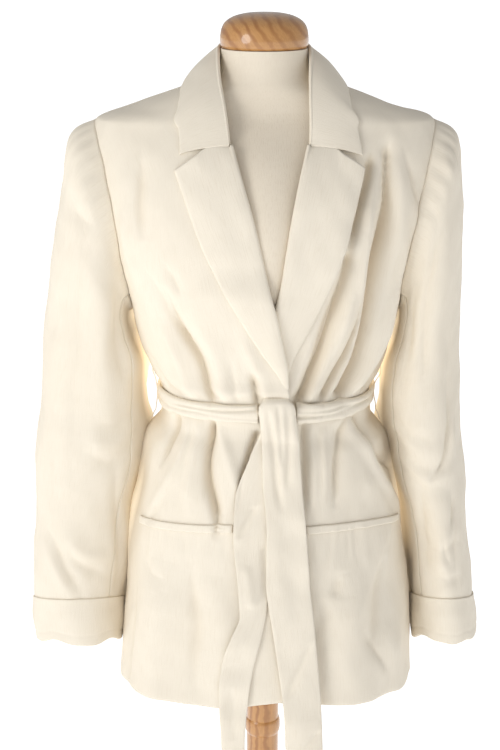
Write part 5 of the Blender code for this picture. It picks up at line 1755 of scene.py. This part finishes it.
cap_base = FORM_TOP_Z + SEAM_GAP
cap_side = [(radius, cap_base + height) for radius, height in smooth_profile(numbers(CAP_PROFILE) / 1000, 40)]
turned("turned_cap", [(0.0, cap_base)] + cap_side, cap_pine, "form_cap", "bust", "varnished_pine", 0)
flange_top = TORSO_FOOT_Z - SEAM_GAP
rod = (
    (0, ROD_FOOT_Z),
    (ROD_RADIUS, ROD_FOOT_Z),
    (ROD_RADIUS, flange_top - FLANGE_THICKNESS),
    (FLANGE_RADIUS, flange_top - FLANGE_THICKNESS),
    (FLANGE_RADIUS, flange_top),
    (0, flange_top),
)
turned("steel_rod", rod, steel, "stand_rod", "rod", "polished_steel")
bead = [
    (between(POLE_RADIUS, BEAD_RADIUS, math.sin(turn)), BEAD_Z - BEAD_HALF_HEIGHT * math.cos(turn))
    for turn in np.linspace(0, math.pi, BEAD_STEPS + 1)
]
pole = (
    (0, POLE_FOOT_Z),
    (POLE_RADIUS, POLE_FOOT_Z),
    *bead,
    (POLE_RADIUS, POLE_TOP_Z - RIM_ROUND),
    (POLE_RADIUS - RIM_ROUND, POLE_TOP_Z),
    (BORE_RADIUS, POLE_TOP_Z),
    (BORE_RADIUS, BORE_FOOT_Z),
    (0, BORE_FOOT_Z),
)
turned("turned_pole", pole, stand_pine, "stand_pole", "stand", "varnished_pine")
turned("turned_base", numbers(BASE_PROFILE) / 1000, stand_pine, "stand_base", "stand", "varnished_pine")

# %% [markdown]
# Every sheet of cloth was cut flat before it was sewn. The table gives each one's cut: the smallest rectangle
# that holds it, and the share of that rectangle that is cloth.

# %% The cuts
CUTS = {
    "front_right": ((0.330, 0.800), 0.72, "gathered", ("form_torso",)),
    "front_left": ((0.330, 0.800), 0.72, "gathered", ("form_torso",)),
    "back": ((0.560, 0.790), 0.78, "gathered", ("form_torso",)),
    "lapel_right": ((0.110, 0.300), 0.50, "folded", ("front_right",)),
    "lapel_left": ((0.110, 0.310), 0.50, "folded", ("front_left",)),
    "collar_fall": ((0.440, 0.105), 0.80, "folded", ("back",)),
    "collar_stand": ((0.340, 0.028), 0.80, "folded", ("back",)),
    "sleeve_right_upper": ((0.310, 0.720), 0.80, "draped", ("form_torso",)),
    "sleeve_left_upper": ((0.290, 0.700), 0.77, "draped", ("form_torso",)),
    "sleeve_right_under": ((0.115, 0.560), 0.65, "draped", ("form_torso",)),
    "sleeve_left_under": ((0.120, 0.560), 0.65, "draped", ("form_torso",)),
    "cuff_right": ((0.290, 0.110), 1.0, "folded", ("sleeve_right_upper",)),
    "cuff_left": ((0.280, 0.110), 1.0, "folded", ("sleeve_left_upper",)),
    "pocket_welt_right": ((0.160, 0.0125), 1.0, "stretched", ("front_right",)),
    "pocket_welt_left": ((0.160, 0.0125), 1.0, "stretched", ("front_left",)),
    "belt_wrap": ((0.760, 0.030), 1.0, "gathered", ("front_right", "back")),
    "belt_tail_over": ((0.050, 0.520), 1.0, "hung", ("belt_knot",)),
    "belt_tail_under": ((0.042, 0.470), 1.0, "hung", ("belt_knot",)),
}
for name, (flat, share, held, rests_on) in CUTS.items():
    list(rests_on)
print(len(CUTS), "cuts declared")

# %% [markdown]
# The photograph is lit softly on a white ground: light comes from everywhere, and a little more of it from
# the viewer's left, so the wearer's left side falls into soft shade. A white world and a broad lamp do that.

# %% Floor and light
FLOOR_HALF = 40.0
PAPER, WHITE, WARM_WHITE = (0.93, 0.93, 0.93, 1.0), (1.0, 1.0, 1.0, 1.0), (1.0, 0.985, 0.955)
bm = bmesh.new()
bmesh.ops.create_grid(bm, x_segments=1, y_segments=1, size=FLOOR_HALF)
floor_mesh = bpy.data.meshes.new("studio_floor")
bm.to_mesh(floor_mesh)
bm.free()
floor = bpy.data.objects.new("studio_floor", floor_mesh)
scene.collection.objects.link(floor)
paper, tree, shader = finish("white_paper")
glow = (("Emission Color", WHITE), ("Emission Strength", 0.80))
fill(tree, shader, (("Base Color", PAPER), ("Roughness", 0.9), *glow))
floor_mesh.materials.append(paper)
floor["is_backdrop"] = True

WORLD_STRENGTH = 0.43
KEY_POWER, KEY_SIZE = 22.0, 1.2
KEY_PLACE, KEY_AIM = (-1.90, -1.70, 1.70), (0.0, 0.0, 1.15)
world = bpy.data.worlds.new("studio")
world.use_nodes = True
scene.world = world
tree = world.node_tree
seen = node(tree, "ShaderNodeLightPath").outputs["Is Camera Ray"]
strength = remap(tree, seen, 0, 1, WORLD_STRENGTH, 1.0)
fill(tree, tree.nodes["Background"], (("Color", WHITE), ("Strength", strength)))
key_data = bpy.data.lights.new("key", "AREA")
key_data.shape = "DISK"
key_data.energy = KEY_POWER
key_data.size = KEY_SIZE
key_data.color = WARM_WHITE
key = bpy.data.objects.new("key", key_data)
key.location = KEY_PLACE
away = unit(np.array(KEY_PLACE) - np.array(KEY_AIM))
key.rotation_euler = (math.acos(away[2]), 0, math.atan2(away[1], away[0]) + math.pi / 2)
scene.collection.objects.link(key)
print("light: world", WORLD_STRENGTH, "key", KEY_POWER)

# %% [markdown]
# Last, the bounding boxes of the CAD model and of the new pieces are printed side by side.

# %% Sizes and finish
boxes = {"cad": CAD_BOX, "visual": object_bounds()}
plain = {name: [[float(part) for part in corner] for corner in box] for name, box in boxes.items()}
print(plain)
